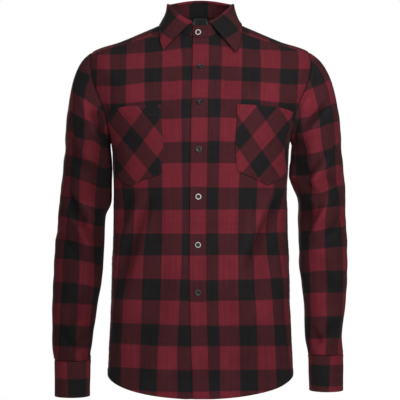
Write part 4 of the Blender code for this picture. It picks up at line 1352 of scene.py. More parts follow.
# creases seen square on: points (distance out, height), reach, depth (negative is a ridge), ridge beside
SLEEVE_CREASES = {
    "right": read_creases("""
214 -146  200 -186  194 -232 | 10 5 0
198 -250  206 -300  202 -352 | 13 4 0
184 -205  181 -250  182 -300 | 9 -4.5 0
239 -132  225 -168  203 -216 | 7 -4.2 0
225 -158  208 -188  194 -216 | 6 5.1 0
211 -168  197 -194  183 -210 | 5 -3.5 0
203 -138  183 -174  171 -202 | 7 7.2 0
268 -318  257 -345  238 -380  226 -388 | 8 7.4 2.6
245 -336  225 -360  212 -386 | 7 -4.8 0
246 -382  225 -403  209 -430 | 8 5.1 1.9
250 -380  245 -422  242 -462 | 10 3.2 0
282 -402  262 -424  236 -438 | 9 2.9 1
262 -230  240 -262  214 -284 | 12 2.6 1
226 -520  246 -556  262 -600 | 12 2.6 0.8
284 -590  262 -620  240 -636 | 9 3.2 1.1
230 -600  240 -622  250 -646 | 7 2.6 0.8
"""),
    "left": read_creases("""
204 -205  202 -250  212 -296  220 -338 | 13 6 0
218 -336  214 -384  220 -432 | 11 5 0
183 -262  181 -300 | 9 -3.5 0
204 -202  225 -177  242 -157  258 -144 | 7 8 -3.5
201 -154  221 -132 | 6 -3.8 0
213 -118  193 -154  187 -196  182 -238 | 6 5.4 0
256 -250  237 -282  216 -308 | 7 -6.4 0
246 -252  228 -280  208 -300 | 7 6 0
259 -328  240 -368  223 -394  212 -424 | 7 -7 0
250 -340  229 -376  212 -410 | 8 8.8 0
251 -284  273 -308 | 9 3.2 1
284 -360  266 -392  244 -410 | 9 3.5 1.3
206 -300  222 -318  240 -322 | 8 3.8 1.3
240 -440  252 -480  258 -520 | 12 2.6 0.8
270 -580  250 -606  226 -622 | 9 3.5 1.3
222 -586  234 -612  244 -636 | 7 2.9 0.8
"""),
}
# the same for the back of each sleeve, where the elbow pulls the cloth
SLEEVE_BACK_CREASES = {
    "right": read_creases("""
282 -330  256 -352  222 -362 | 9 4 1.6
286 -372  258 -388  214 -388 | 9 4.4 1.8
284 -420  256 -416  218 -400 | 9 3.6 1.4
244 -150  226 -200  216 -262 | 12 3 1
272 -480  250 -530  236 -590 | 12 2.6 0.8
240 -590  244 -620  242 -648 | 6 2.6 1
"""),
    "left": read_creases("""
286 -318  258 -344  224 -352 | 9 4.2 1.6
288 -366  254 -376  216 -372 | 9 4 1.6
286 -408  250 -420  220 -410 | 9 3.4 1.2
250 -140  232 -196  220 -250 | 12 2.8 1
270 -470  246 -520  232 -580 | 12 2.4 0.8
238 -580  242 -610  238 -636 | 6 2.4 1
"""),
}
print("sleeve sections:", len(SLEEVE_SECTIONS["left"]), "and", len(SLEEVE_SECTIONS["right"]))

# %% Sleeve form
SEAM_GAP = 0.3 * MM


def tube_point(side, way, station):
    """The sleeve below the armpit: way is 0 on its outside and a quarter at the front."""
    z, outer, inner, mid, depth = np.moveaxis(smooth_between(SLEEVE_SECTIONS[side], station) * MM, -1, 0)
    x = 0.5 * (outer + inner) + 0.5 * (outer - inner) * signed_power(np.cos(way), 0.92)
    y = mid - depth * signed_power(np.sin(way), 0.92)
    return np.stack([x, y, z + 0.0 * x], axis=-1)


def sleeve_fold_depth(side, way, height):
    total = np.zeros(np.broadcast(way, height).shape)
    for turn, spread, z, slant, reach, depth in SLEEVE_FOLDS[side]:
        apart = (np.degrees(way) - turn + 180.0) % 360.0 - 180.0
        level = z + slant * apart / 90.0
        total += depth * MM * bell(apart, spread) * bell(height / MM, reach, level)
    return total


def cap_direction(ways):
    """The ways in which the sleeve leaves the armhole seam."""
    top = np.maximum(np.cos(ways), 0.0) ** 2
    under = np.maximum(-np.cos(ways), 0.0) ** 2
    aside = np.sin(ways) ** 2
    over = np.array([0.90, 0.0, -0.43])
    below = np.array([0.62, 0.0, -0.78])
    side = np.sign(np.sin(ways))
    beside = np.stack([np.full_like(ways, 0.84), -0.34 * side, np.full_like(ways, -0.42)], axis=-1)
    return unit(top[:, None] * over + aside[:, None] * beside + under[:, None] * below)


CAP_LINES = np.array([0.0, 0.008, 0.02, 0.036, 0.054, 0.075])
SLEEVE_COLUMNS_ROUND = 104
CAP_LAST_ROW = 33
CAP_BACK_FOOT = -215.0
SLEEVE_ROW_REACH = (-45.0, 48.0)


def sleeve_form(side):
    """Rows from the armhole to the cuff and columns round the sleeve, as on the wearer's left."""
    ways = -math.pi + 2.0 * math.pi * np.arange(SLEEVE_COLUMNS_ROUND) / SLEEVE_COLUMNS_ROUND
    stations = len(SLEEVE_SECTIONS[side]) - 1.0
    armhole = armhole_places(ways)
    seam = to_side(cloth_point(SIDES[side] * armhole[:, 0], armhole[:, 1]), side)
    seam = seam + 0.5 * SEAM_GAP * cap_direction(ways)
    first = tube_point(side, ways, np.zeros_like(ways))
    below = unit(tube_point(side, ways, np.full_like(ways, 0.05)) - first)
    reach = np.linalg.norm(first - seam, axis=-1, keepdims=True)
    lead = CAP_FULLNESS[side] * reach * cap_direction(ways)
    trail = CAP_FALL * reach * below
    parts = np.concatenate([CAP_LINES, np.linspace(CAP_LINES[-1], 1.0, 34)[1:-1]])
    rows = [curve_between(seam, lead, first, trail, part) for part in parts]
    low = stations - np.array([0.45, 0.25, 0.1, 0.0])
    places = np.concatenate([np.linspace(0.0, stations - 0.7, 106), low])
    rows += [tube_point(side, ways, np.full_like(ways, station)) for station in places]
    grid = np.array(rows)
    normal = grid_normals(grid, round_way=True)
    depth = sleeve_fold_depth(side, ways[None], grid[..., 2])
    far = edge_distances(grid, round_way=True)
    held = smooth_step(far["bottom"] / (40 * MM)) * smooth_step(far["top"] / (22 * MM))
    return grid - (held * depth)[..., None] * normal, ways


def sleeve_check(side, grid, ways):
    """u and v round the sleeve: from its table in front, and by length round the back."""
    x, z = seen(grid)
    length = travelled(closed(grid), axis=1) / MM
    outside = int(np.argmin(np.abs(ways)))
    starts = np.full((len(grid), 3), np.nan)
    for number, table in enumerate(SLEEVE_COLUMNS[side]):
        gap = x - np.interp(-z, -table[:, 0], table[:, 1])
        for row in range(len(grid)):
            past = np.flatnonzero(gap[row, outside + 1 :] <= 0.0)
            if len(past) and -z[row, outside + 1 + past[0]] > -table[0, 0] - 4.0:
                starts[row, number] = crossing(gap[row], length[row], outside)
    base = length[:, outside]
    for number in range(3):
        lead = starts[:, number] - base
        starts[:, number] = evened(lead, ~np.isnan(lead)) + base
    u = columns_along(length, starts, SLEEVE_COLUMN_EDGES)
    # behind the cap the columns run straight on upwards from the tube below
    tube = grid[CAP_LAST_ROW, :, 0]
    centre, reach = 0.5 * (tube.max() + tube.min()) / MM, 0.5 * np.ptp(tube) / MM
    turned = np.arccos(np.clip((grid[..., 0] / MM - centre) / reach, -1.0, 1.0))
    straight = closed(u[CAP_LAST_ROW, outside] - reach * turned)
    z = closed(z)
    cap = smooth_step((z - CAP_BACK_FOOT) / 50.0) * smooth_step(-np.sin(np.append(ways, math.pi)) / 0.5)
    u = u + cap * (straight - u)
    return u, read_rows(np.clip(u, *SLEEVE_ROW_REACH), z, SLEEVE_ROWS[side], SLEEVE_ROW_EDGES)


def to_side(points, side):
    return points * np.array([SIDES[side], 1.0, 1.0])


print("sleeve grids have", SLEEVE_COLUMNS_ROUND, "columns")

# %% Sleeves
SLEEVE_SURFACES = {}
# painted shade on each sleeve, at the cap and below it
SLEEVE_PAINTED_SHADE = {"left": (0.0, 0.16), "right": (0.12, 0.66)}
for side, outward in SIDES.items():
    form, ways = sleeve_form(side)
    normal = grid_normals(form, round_way=True)
    x, z = seen(form)
    front_half = smooth_step(0.5 + 0.9 * np.sin(ways))[None, :]
    height = front_half * crease_height(x, z, SLEEVE_CREASES[side])
    height += (1.0 - front_half) * crease_height(x, z, SLEEVE_BACK_CREASES[side])
    height += rumple(np.cos(ways)[None, :] * 60.0 + 0.0 * z, z + 40.0 * np.sin(ways)[None, :], 5, 60.0, 0.5)
    far = edge_distances(form, round_way=True)
    height = height * smooth_step(far["bottom"] / (14 * MM)) * smooth_step(far["top"] / (10 * MM))
    relief, shade = seam_relief(far, {"bottom": "seam", "top": "seam"}, seed=61 if side == "left" else 67)
    # painted shade in the folds and painted highlight on their ridges, painted shade down each sleeve and more
    # on one, and painted shade on the inner side next to the body
    cap_painted_shade, low_painted_shade = SLEEVE_PAINTED_SHADE[side]
    sleeve_painted_shade = cap_painted_shade + (low_painted_shade - cap_painted_shade) * smooth_step((-z - 110.0) / 150.0)
    inside = smooth_step((-np.cos(ways)[None, :] - 0.1) / 0.8) * smooth_step((-z - 125.0) / 60.0)
    sleeve_painted_shade = sleeve_painted_shade + 0.42 * inside * (1.0 - 0.6 * smooth_step((-z - 420.0) / 90.0))
    shade = np.clip(shade + fold_shade_and_highlight(height) + sleeve_painted_shade, -0.4, 1.0)
    outer = form + (height + relief)[..., None] * normal
    check = sleeve_check(side, form, ways)
    outer, form = to_side(outer, side), to_side(form, side)
    normal = grid_normals(outer, round_way=True) * outward
    armhole = armhole_places(ways)
    seam_normal = cloth_normal(outward * armhole[:, 0], armhole[:, 1])
    crest = (np.clip(np.cos(ways), 0.0, 1.0) * np.clip((seam_normal * normal[0]).sum(-1), 0.0, 1.0))[:, None]
    normal[0] = unit(crest * seam_normal + (1.0 - crest) * normal[0])
    outer, normal = sew(
        f"sleeve_{side}_cloth", outer, check, outward, [("bottom", 7.0)], CLOTH_THICKNESS,
        round_way=True, normal=normal, painted_shading=shade,
    )
    SLEEVE_SURFACES[side] = (outer, normal, ways)
print("each sleeve holds about", round(CUTS["sleeve_left_cloth"][2], 3), "m2")

# %% [markdown]
# ## Cuffs and sleeve plackets
# A cuff is a doubled band that laps over itself at the back of the wrist, with one button. Above it the
# sleeve is slit and bound with a narrow placket that ends in a point.

# %% Cuffs
CUFF_HEIGHT = 70.0 * MM
CUFF_LEAN = -12.0 * MM
CUFF_STEP = 0.3 * MM
CUFF_TAPER = 1.2 * MM
CUFF_CLOTH = 2.2 * MM
CUFF_OPENING = math.radians(-62.0)
CUFF_LAP = math.radians(22.0)
BOUND_EDGES = {"bottom": "seam", "top": "edge", "left": "edge", "right": "edge"}
# v at the cuff seam, in millimetres of cloth
CUFF_SEAM_V = {"right": 11.5, "left": 27.5}


def cuff_point(side, way, drop, inset):
    z, outer, inner, mid, depth = SLEEVE_SECTIONS[side][-1] * MM
    top = np.array([z - SEAM_GAP, outer + CUFF_STEP, inner - CUFF_STEP, mid, depth + CUFF_STEP])
    foot = top + np.array([-CUFF_HEIGHT, -CUFF_TAPER, CUFF_TAPER, CUFF_LEAN, -CUFF_TAPER])
    z, outer, inner, mid, depth = top + drop * (foot - top)
    x = 0.5 * (outer + inner) + (0.5 * (outer - inner) - inset) * signed_power(np.cos(way), 0.95)
    y = mid - (depth - inset) * signed_power(np.sin(way), 0.95)
    return np.stack([x, y, np.full_like(x, z)], axis=-1)


# dark column of each cuff as seen: outer and inner edge, how far out
CUFF_DARK = {"right": (266.0, 228.6), "left": (258.6, 222.4)}
CARRIER_SURFACES = {}
for side, outward in SIDES.items():
    ways = np.linspace(CUFF_OPENING - CUFF_LAP, CUFF_OPENING + 2.0 * math.pi, 120)
    from_start = (ways - ways[0]) / CUFF_LAP
    inset = (CUFF_CLOTH + LAID_GAP) * smooth_step(2.0 - from_start)
    drops = spaced(CUFF_HEIGHT / MM, step=3.4)
    outer = np.array([cuff_point(side, ways, drop, inset) for drop in drops])
    normal, far = grid_normals(outer), edge_distances(outer)
    length = far["left"] / MM
    x, _ = seen(outer)
    middle = len(drops) // 2
    front = np.flatnonzero(np.sin(ways) > 0.15)
    order = front[np.argsort(x[middle][front])]
    at_outer, at_inner = (np.interp(edge, x[middle][order], length[middle][order]) for edge in CUFF_DARK[side])
    u = read_on(length, [at_outer, at_inner], [-DARK_COLUMN, 0.0])
    v = CUFF_SEAM_V[side] + far["bottom"] / MM
    relief, shade = seam_relief(far, BOUND_EDGES, seed=71)
    soft = rumple(length, outer[..., 2] / MM, 9, 42.0, 0.45)
    outer = outer + (relief * 0.8 + soft * smooth_step(far["bottom"] / (8 * MM)))[..., None] * normal
    # painted shade: each cuff takes the lower painted shade of its sleeve
    shade = shade + 0.5 * SLEEVE_PAINTED_SHADE[side][1]
    outer = to_side(outer, side)
    CARRIER_SURFACES[f"cuff_{side}"] = sew(
        f"cuff_{side}_cloth", outer, (u, v), outward, [("bottom", 2.2), ("top", 5.0), ("right", 4.0)],
        1.8 * MM, painted_shading=shade,
    )
print("each cuff is", round(CUTS["cuff_left_cloth"][2], 4), "m2")

# %% Sleeve plackets
PLACKET_LENGTH = 130.0
PLACKET_POINT = 12.0
PLACKET_HALF = 10.0 * MM
WRIST_RADIUS = 48.0 * MM
for side, outward in SIDES.items():
    outer, normal, ways = SLEEVE_SURFACES[side]
    foot = SLEEVE_SECTIONS[side][-1][0] * MM
    tip = PLACKET_LENGTH - np.array([7.5, 5.0, 2.5, 0.0])
    risen = np.concatenate([np.linspace(2.0, PLACKET_LENGTH - 10.0, 36), tip])
    heights = foot + risen * MM
    point = 1.0 - 0.65 * smooth_step((risen - PLACKET_LENGTH) / PLACKET_POINT + 1.0)
    shares = np.array([-1.0, -0.9, -0.7, -0.4, 0.0, 0.4, 0.7, 0.9, 1.0])
    grid_places = CUFF_OPENING + shares[None, :] * (PLACKET_HALF / WRIST_RADIUS) * point[:, None]
    row_heights = outer[..., 2].mean(axis=1)
    rows = np.interp(-heights, -row_heights, np.arange(len(row_heights)))[:, None] + 0.0 * grid_places
    columns = np.interp(grid_places, ways, np.arange(len(ways)))
    base, out = read_grid(outer, rows, columns), unit(read_grid(normal, rows, columns))
    raised = base + (1.9 * MM - 0.3 * MM * np.abs(shares)[None, :] ** 4)[..., None] * out
    strip = (grid_places * WRIST_RADIUS / MM + 2.0, -heights[:, None] / MM + 0.0 * grid_places)
    sew(f"sleeve_placket_{side}_cloth", raised, strip, -outward, [("left", 2.0), ("right", 2.0)], 1.0 * MM)
print("plackets are", round(PLACKET_LENGTH), "mm long")

# %% [markdown]
# ## Collar
# A stand circles the neck and buttons at the front. A leaf is sewn to its top, rolls over and falls to
# two points. It is swept from one profile after another, with a slight swell so that it isn't flat.

# %% Collar stand
STAND_FOOT, STAND_TOP = numbers("68 18 60 62 -17.5 20.5 36.5 1  64 19 56 58 7 50 64 1", 8)
STAND_LAP = math.radians(14.0)
STAND_UNDER = 2.6
STAND_CHECK_SCALE, STAND_CHECK_SHIFT = 0.88, 5.0
COLLAR_CLOTH = 1.8 * MM


def stand_point(turn, share, inset):
    """The collar stand from its foot, share 0, to its top, share 1."""
    rows = (1.0 - share) * STAND_FOOT + share * STAND_TOP
    rows = np.broadcast_to(rows, np.shape(turn) + (len(STAND_TOP),)).copy()
    for column in (0, 2, 3):
        rows[..., column] -= inset / MM
    return ring_point(rows, turn)


stand_turns = np.linspace(STAND_LAP, -2.0 * math.pi - STAND_LAP, 190)
gone = (stand_turns[0] - stand_turns) / STAND_LAP
stand_inset = (COLLAR_CLOTH + LAID_GAP) * smooth_step(1.0 - (gone - STAND_UNDER) / 2.0)
stand_outer = np.array([stand_point(stand_turns, share, stand_inset) for share in spaced(29.0, step=3.0)])
stand_far = edge_distances(stand_outer)
stand_length = stand_far["left"] / MM
middle_length = stand_length[:, len(stand_turns) // 2][:, None]
stand_u = (stand_length - middle_length + STAND_CHECK_SHIFT) * STAND_CHECK_SCALE - 0.5 * DARK_COLUMN
stand_v = -12.0 - stand_far["bottom"] / MM
relief, shade = seam_relief(stand_far, BOUND_EDGES, seed=83)
stand_outer = stand_outer - (0.7 * relief)[..., None] * grid_normals(stand_outer)
stand = sew("collar_stand_cloth", stand_outer, (stand_u, stand_v), -1, [("bottom", 2.0)], 1.5 * MM, painted_shading=shade)
print("collar stand is", round(CUTS["collar_stand_cloth"][2], 4), "m2")

# %% Collar leaf
LEAF_START = math.radians(14.5)
LEAF_LIFT = 2.6 * MM
LEAF_GAP = 0.7 * MM
LEAF_RISE = 2.2 * MM
# how far a section of the leaf bows outwards at the front, and inwards at the sides and back
LEAF_SWELL_FRONT, LEAF_SWELL_SIDE = 2.4 * MM, -2.6 * MM
ROLL = 2.6 * MM
# degrees from the front, and ring outward
LEAF_EDGE = numbers("34.5 2.3  44 1.93  54 1.55  68 1.14  88 0.86  120 0.88  180 0.94", 2)
LEAF_POINT_TURN = {"left": math.radians(32.5), "right": math.radians(36.0)}
LEAF_FALL = np.concatenate([np.linspace(0.06, 0.86, 17), np.array([0.9, 0.93, 0.96, 0.98, 1.0])])
ROLL_ANGLES = (25.0, 50.0, 75.0, 100.0, 125.0, 150.0)


def leaf_profile(turn_fold, turn_edge, ring_edge):
    """One section of the leaf: up from the stand, over the roll and out to its edge."""
    top, foot = (stand_point(turn_fold, share, 0.5 * COLLAR_CLOTH) for share in (1.0, 0.0))
    up = unit(top - foot)
    out = top - stand_point(turn_fold, 1.0, 4.0 * COLLAR_CLOTH)
    out = unit(out - (out @ up) * up)
    edge = form_point(turn_edge, ring_edge) + LEAF_LIFT * form_normal(turn_edge, ring_edge)
    start = top + LEAF_GAP * up
    rise = start + LEAF_RISE * up
    line = [start, rise]
    for angle in ROLL_ANGLES:
        bend = math.radians(angle)
        line.append(rise + ROLL * ((1.0 - math.cos(bend)) * out + math.sin(bend) * up))
    last = line[-1]
    aside = smooth_step((turn_fold - 0.5) / 0.7)
    swell = LEAF_SWELL_FRONT + aside * (LEAF_SWELL_SIDE - LEAF_SWELL_FRONT)
    for part in LEAF_FALL:
        line.append(last + part * (edge - last) + swell * math.sin(math.pi * part) * out)
    return np.array(line)


def half_leaf(side):
    lines = []
    near = np.array([0.0, 0.003, 0.008, 0.014, 0.022])
    for share in np.concatenate([near, np.linspace(0.022, 1.0, 62)[1:]]):
        turn_fold = LEAF_START + (math.pi - LEAF_START) * share
        turn_edge = LEAF_POINT_TURN[side] + (math.pi - LEAF_POINT_TURN[side]) * share**0.95
        ring_edge = float(np.interp(math.degrees(turn_edge), *LEAF_EDGE.T))
        lines.append(leaf_profile(turn_fold, turn_edge, ring_edge))
    return np.array(lines)


FOLD_COLUMN = 5
LEAF_FRONT_SECTIONS = 26
LEAF_BACK_V = 52.5
# seen places (x, z) on each leaf where a thread line of the check runs: the first list holds
# u lines, the second v lines, all in millimetres
LEAF_LINES = {
    "left": (
        [(17.2, 12.0, -35.5), (50.2, -13.8, -35.5), (47.2, 27.8, 0.0), (66.0, -2.2, 0.0)],
        [(17.2, 12.0, -42.5), (47.2, 27.8, -42.5), (66.0, -2.2, 0.0), (50.2, -13.8, 0.0)],
    ),
    "right": (
        [(50.8, 22.8, -35.5), (63.6, -5.6, -35.5), (78.2, -12.4, -35.5), (18.0, 6.0, -72.0)],
        [(77.4, 6.2, 0.0), (63.6, -5.6, 0.0), (55.8, -19.4, 0.0), (44.0, 14.8, -42.5), (32.2, 7.0, -42.5)],
    ),
}


def leaf_check(half, side):
    """u and v on a leaf."""
    fold = half[:, FOLD_COLUMN]
    run, down = travelled(fold) / MM, travelled(half, axis=1) / MM
    down -= down[:, FOLD_COLUMN : FOLD_COLUMN + 1]
    lean = np.sum(unit(np.gradient(fold, axis=0)) * unit(half[:, -1] - fold), axis=1)[:, None]
    flat_x, flat_y = run[:, None] + lean * down, np.sqrt(1.0 - lean**2) * down
    x, z = seen(half)
    spots = []
    for lines in LEAF_LINES[side]:
        for place_x, place_z, value in lines:
            near = np.hypot(x - place_x, z - place_z)[:LEAF_FRONT_SECTIONS, FOLD_COLUMN:]
            row, column = np.unravel_index(np.argmin(near), near.shape)
            spots.append((flat_x[row, column + FOLD_COLUMN], flat_y[row, column + FOLD_COLUMN], value))
    spots = np.array(spots)
    of_u = np.arange(len(spots)) < len(LEAF_LINES[side][0])

    def laid(x, y, mirror, turn):
        c, s = math.cos(turn), math.sin(turn)
        return mirror * (c * x + s * y), -s * x + c * y

    best = None
    for mirror in (1.0, -1.0):
        for turn in np.radians(np.arange(-180.0, 180.0, 1.0)):
            rough_u, rough_v = laid(spots[:, 0], spots[:, 1], mirror, turn)
            shift_u, shift_v = (spots[:, 2] - rough_u)[of_u].mean(), (spots[:, 2] - rough_v)[~of_u].mean()
            miss = np.where(of_u, rough_u + shift_u, rough_v + shift_v) - spots[:, 2]
            score = float((miss**2).mean()) ** 0.5
            if best is None or score < best[0]:
                best = (score, mirror, turn, shift_u, shift_v)
    score, mirror, turn, shift_u, shift_v = best
    degrees = round(math.degrees(turn))
    print(side, "leaf check: turned", degrees, "degrees, lines lie within", round(score, 1), "mm")
    u, v = laid(flat_x, flat_y, mirror, turn)
    u, v = u + shift_u, v + shift_v
    turn_back = smooth_step((run / run[-1] - 0.42) / 0.45)[:, None]
    back_u = run[:, None] - run[-1] - 0.5 * DARK_COLUMN + 0.0 * down
    middle = int(0.62 * len(half))
    back_u += COLUMN_PERIOD * np.round((u[middle, 0] - back_u[middle, 0]) / COLUMN_PERIOD)
    u = u + turn_back * (back_u - u)
    v = v + turn_back * (down - LEAF_BACK_V - v)
    return np.stack([u, v])


left_half, right_half = half_leaf("left"), half_leaf("right")
leaf_centre = np.concatenate([left_half, right_half[::-1][1:] * np.array([-1.0, 1.0, 1.0])])
left_check, right_check = leaf_check(left_half, "left"), leaf_check(right_half, "right")
# both halves count from their own front edge, so the break in the check lies at the middle of the back
both_checks = np.concatenate([left_check, right_check[:, ::-1][:, 1:]], axis=1)
leaf_normal = grid_normals(leaf_centre)
leaf_far = edge_distances(leaf_centre)
leaf_height = rumple(leaf_far["bottom"] / MM, leaf_far["left"] / MM, 14, 46.0, 0.5)
leaf_height *= smooth_step((leaf_far["left"] - 8 * MM) / (20 * MM))
relief, shade = seam_relief(leaf_far, {"bottom": "edge", "top": "edge", "right": "edge"}, seed=91)
leaf_outer = leaf_centre + (0.6 * MM + leaf_height + relief)[..., None] * leaf_normal
sew(
    "collar_leaf_cloth", leaf_outer, both_checks, 1,
    [("right", 5.0, (0.02, 0.98)), ("bottom", 5.0, (0.36, 0.92)), ("top", 5.0, (0.36, 0.92))],
    1.3 * MM, painted_shading=shade,
)
print("collar leaf is", round(CUTS["collar_leaf_cloth"][2], 4), "m2")

# %% [markdown]
# ## Pockets
# The patch pockets are cut on the bias, so their check stands on its points. Each is laid on a front
# and sewn round three sides, and its top is a plain turned hem.

# %% Pockets
# inner edge, outer edge at the top and the foot, then heights: top inner, top outer, foot inner, foot
# outer and point
POCKETS = {
    "left": (70, 181, 167, -153, -166, -282, -288, -303),
    "right": (76, 183, 169, -154, -166, -288, -292, -305),
}
POCKET_GAP = 0.8 * MM
POCKET_CLOTH = 1.2 * MM
POCKET_DIAMOND = {"left": (125.2, -208.8, 48.6), "right": (128.2, -275.2, 46.8)}
POCKET_GIVE, POCKET_CHECK_SCALE = 1.3, 0.985


def pocket_places(side):
    inner_x, outer_top, outer_foot, *heights = np.array(POCKETS[side]) * MM
    top_inner, top_outer, foot_inner, foot_outer, point = heights
    across = spaced(111.0, step=3.0)[:, None]
    drop = (point - 0.5 * (foot_inner + foot_outer)) * (1.0 - np.abs(2.0 * across - 1.0))
    top_places = place_on_body(inner_x, top_inner), place_on_body(outer_top, top_outer)
    foot_places = place_on_body(inner_x, foot_inner), place_on_body(outer_foot, foot_outer)
    top = (1.0 - across) * top_places[0] + across * top_places[1]
    foot = (1.0 - across) * foot_places[0] + across * foot_places[1]
    foot[:, 1] += ((foot[0, 1] - top[0, 1]) / (foot_inner - top_inner)) * drop[:, 0]
    share = spaced(136.0, step=3.0)[:, None, None]
    return foot + share * (top - foot)


for side, outward in SIDES.items():
    turn, ring = np.moveaxis(pocket_places(side), -1, 0) * np.array([outward, 1.0])[:, None, None]
    base, out = cloth_point(turn, ring), cloth_normal(turn, ring)
    far = edge_distances(base)
    x, z = seen(base)
    centre_x, centre_z, bias = POCKET_DIAMOND[side]
    off_x, off_z = (np.abs(x) - centre_x) * POCKET_GIVE, z - centre_z
    bias = math.radians(bias)
    u = (off_x * math.cos(bias) - off_z * math.sin(bias)) * POCKET_CHECK_SCALE + 0.5 * RED_COLUMN
    v = (-off_x * math.sin(bias) - off_z * math.cos(bias)) * POCKET_CHECK_SCALE + 0.5 * RED_ROW
    relief, shade = seam_relief(far, {"bottom": "edge", "left": "edge", "right": "edge"}, seed=97)
    hem = 0.35 * MM * smooth_step((22.0 - far["top"] / MM) / 2.0)
    arch = np.sin(math.pi * far["left"] / (far["left"] + far["right"]))
    gape = 0.9 * MM * bell(far["top"] / MM, 30.0) * arch
    beside = np.minimum(far["left"], far["right"]) / MM
    soft = 0.4 * rumple(x, z, 19, 55.0, 0.3) * smooth_step(beside / 16.0)
    rounded = -0.45 * MM * smooth_step(1.0 - beside / 3.0)
    raised = POCKET_GAP + POCKET_CLOTH + 0.4 * MM + relief + hem + gape + soft + rounded
    outer = base + raised[..., None] * out
    sew(
        f"pocket_{side}_cloth", outer, (u, v), outward,
        [("left", 2.2), ("right", 2.2), ("bottom", 2.2), ("top", 21.0)], 1.1 * MM, painted_shading=shade,
    )
print("each pocket is", round(CUTS["pocket_left_cloth"][2], 4), "m2")


# %% [markdown]
# ## Neck label
# A short blank tape is sewn inside the back of the neck, with fine ribs and paler selvedges.

# %% Neck label
LABEL_HALF_TURN = math.radians(11.0)
LABEL_RINGS = (0.12, 1.25)
LABEL_INSIDE = 3.3 * MM


def woven_tape(tree):
    across, along_tape = separate(tree, check_place(tree))
    rib = abs((along_tape / 0.0011).math("FRACT") - 0.5)
    ribbed = mix_colours(tree, rib, (0.022, 0.023, 0.023, 1.0), (0.065, 0.067, 0.066, 1.0))
    selvedge = abs(across).step(0.0115, 0.0125)
    colour = mix_colours(tree, selvedge, ribbed, (0.13, 0.13, 0.128, 1.0))
    return {"Base Color": colour, "Normal": bump(tree, rib, 0.0002), "Roughness": 0.6}


TAPE = make_finish("woven_tape", woven_tape)
label_turns = np.linspace(math.pi - LABEL_HALF_TURN, math.pi + LABEL_HALF_TURN, 24)[None, :]
label_rings = np.linspace(*LABEL_RINGS, 16)[:, None]
label_outer = form_point(label_turns, label_rings) - LABEL_INSIDE * form_normal(label_turns, label_rings)
label_far = edge_distances(label_outer)
label_u = (label_far["left"] - 0.5 * label_far["left"][:, -1:]) / MM
sew("neck_label_tape", label_outer, (label_u, label_far["bottom"] / MM), 1, [], 0.6 * MM, finish=TAPE)

# %% [markdown]
# ## What repeats: stitches, buttonholes and buttons
# A small Geometry Nodes tree walks along any drawn line and sets a stitch at every step, along the line
# or across it for the bars of a buttonhole. A second one sets a button on each place. Both end as plain
# meshes.

# %% Geometry trees
def new_geometry_tree(name, inputs):
    geometry = ("Geometry", "Geometry")
    tree, start, end = new_group(name, "GeometryNodeTree", [geometry, *inputs], [geometry])
    facing = add_node(tree, "GeometryNodeInputNamedAttribute", {"Name": "facing"}, data_type="FLOAT_VECTOR")
    return tree, start, end, facing.outputs["Attribute"]


def set_down(tree, start, end, inputs, way):
    """Ends a tree: an instance on every point, its Z turned along way, as one mesh with its finish."""
    turned = add_node(tree, "FunctionNodeAlignRotationToVector", {"Vector": way}, axis="Z").outputs[0]
    laid = add_node(tree, "GeometryNodeInstanceOnPoints", {**inputs, "Rotation": turned}).outputs[0]
    solid = add_node(tree, "GeometryNodeRealizeInstances", {0: laid}).outputs[0]
    finish = {"Geometry": solid, "Material": start["Finish"]}
    feed(tree, end, {0: add_node(tree, "GeometryNodeSetMaterial", finish).outputs[0]})
    return tree


def make_thread_tree():
    tree, start, end, facing = new_geometry_tree("stitches_along_lines", [
        ("Length", "Float", 0.0021), ("Width", "Float", 0.0005), ("Spacing", "Float", 0.0028),
        ("Across", "Float", 0.0), ("Finish", "Material"),
    ])
    line = add_node(tree, "GeometryNodeMeshToCurve", {0: start["Geometry"]}).outputs[0]
    steps = {"Curve": line, "Length": start["Spacing"]}
    steps = add_node(tree, "GeometryNodeResampleCurve", steps, mode="LENGTH").outputs[0]
    tangent = add_node(tree, "GeometryNodeInputTangent").outputs[0]
    both = {0: facing, 1: tangent}
    beside = add_node(tree, "ShaderNodeVectorMath", both, operation="CROSS_PRODUCT").outputs[0]
    way = add_node(tree, "ShaderNodeMix", {0: start["Across"], 4: tangent, 5: beside}, data_type="VECTOR")
    stitch = add_node(tree, "GeometryNodeMeshIcoSphere", {"Radius": 0.5, "Subdivisions": 1}).outputs["Mesh"]
    size = {0: start["Width"], 1: start["Width"], 2: start["Length"]}
    size = add_node(tree, "ShaderNodeCombineXYZ", size).outputs[0]
    return set_down(tree, start, end, {"Points": steps, "Instance": stitch, "Scale": size}, way.outputs[1])


def make_seating_tree():
    inputs = [("Part", "Object"), ("Finish", "Material")]
    tree, start, end, facing = new_geometry_tree("parts_on_places", inputs)
    part = add_node(tree, "GeometryNodeObjectInfo", {"Object": start["Part"]}).outputs["Geometry"]
    return set_down(tree, start, end, {"Points": start["Geometry"], "Instance": part}, facing)


def points_and_lines(name, lines, facings=None, rim_highlight=None, joined_up=True):
    """A mesh of loose lines, or of loose points, with the attributes that the trees read."""
    edges, count = [], 0
    for line in lines:
        if joined_up:
            edges += [(count + k, count + k + 1) for k in range(len(line) - 1)]
        count += len(line)
    data = bpy.data.meshes.new(name)
    data.from_pydata(np.concatenate(lines).tolist(), edges, [])
    if facings is not None:
        facing = data.attributes.new("facing", "FLOAT_VECTOR", "POINT")
        facing.data.foreach_set("vector", np.concatenate(facings).ravel())
    if rim_highlight is not None:
        data.attributes.new("rim_highlight", "FLOAT", "POINT").data.foreach_set("value", rim_highlight)
    return data


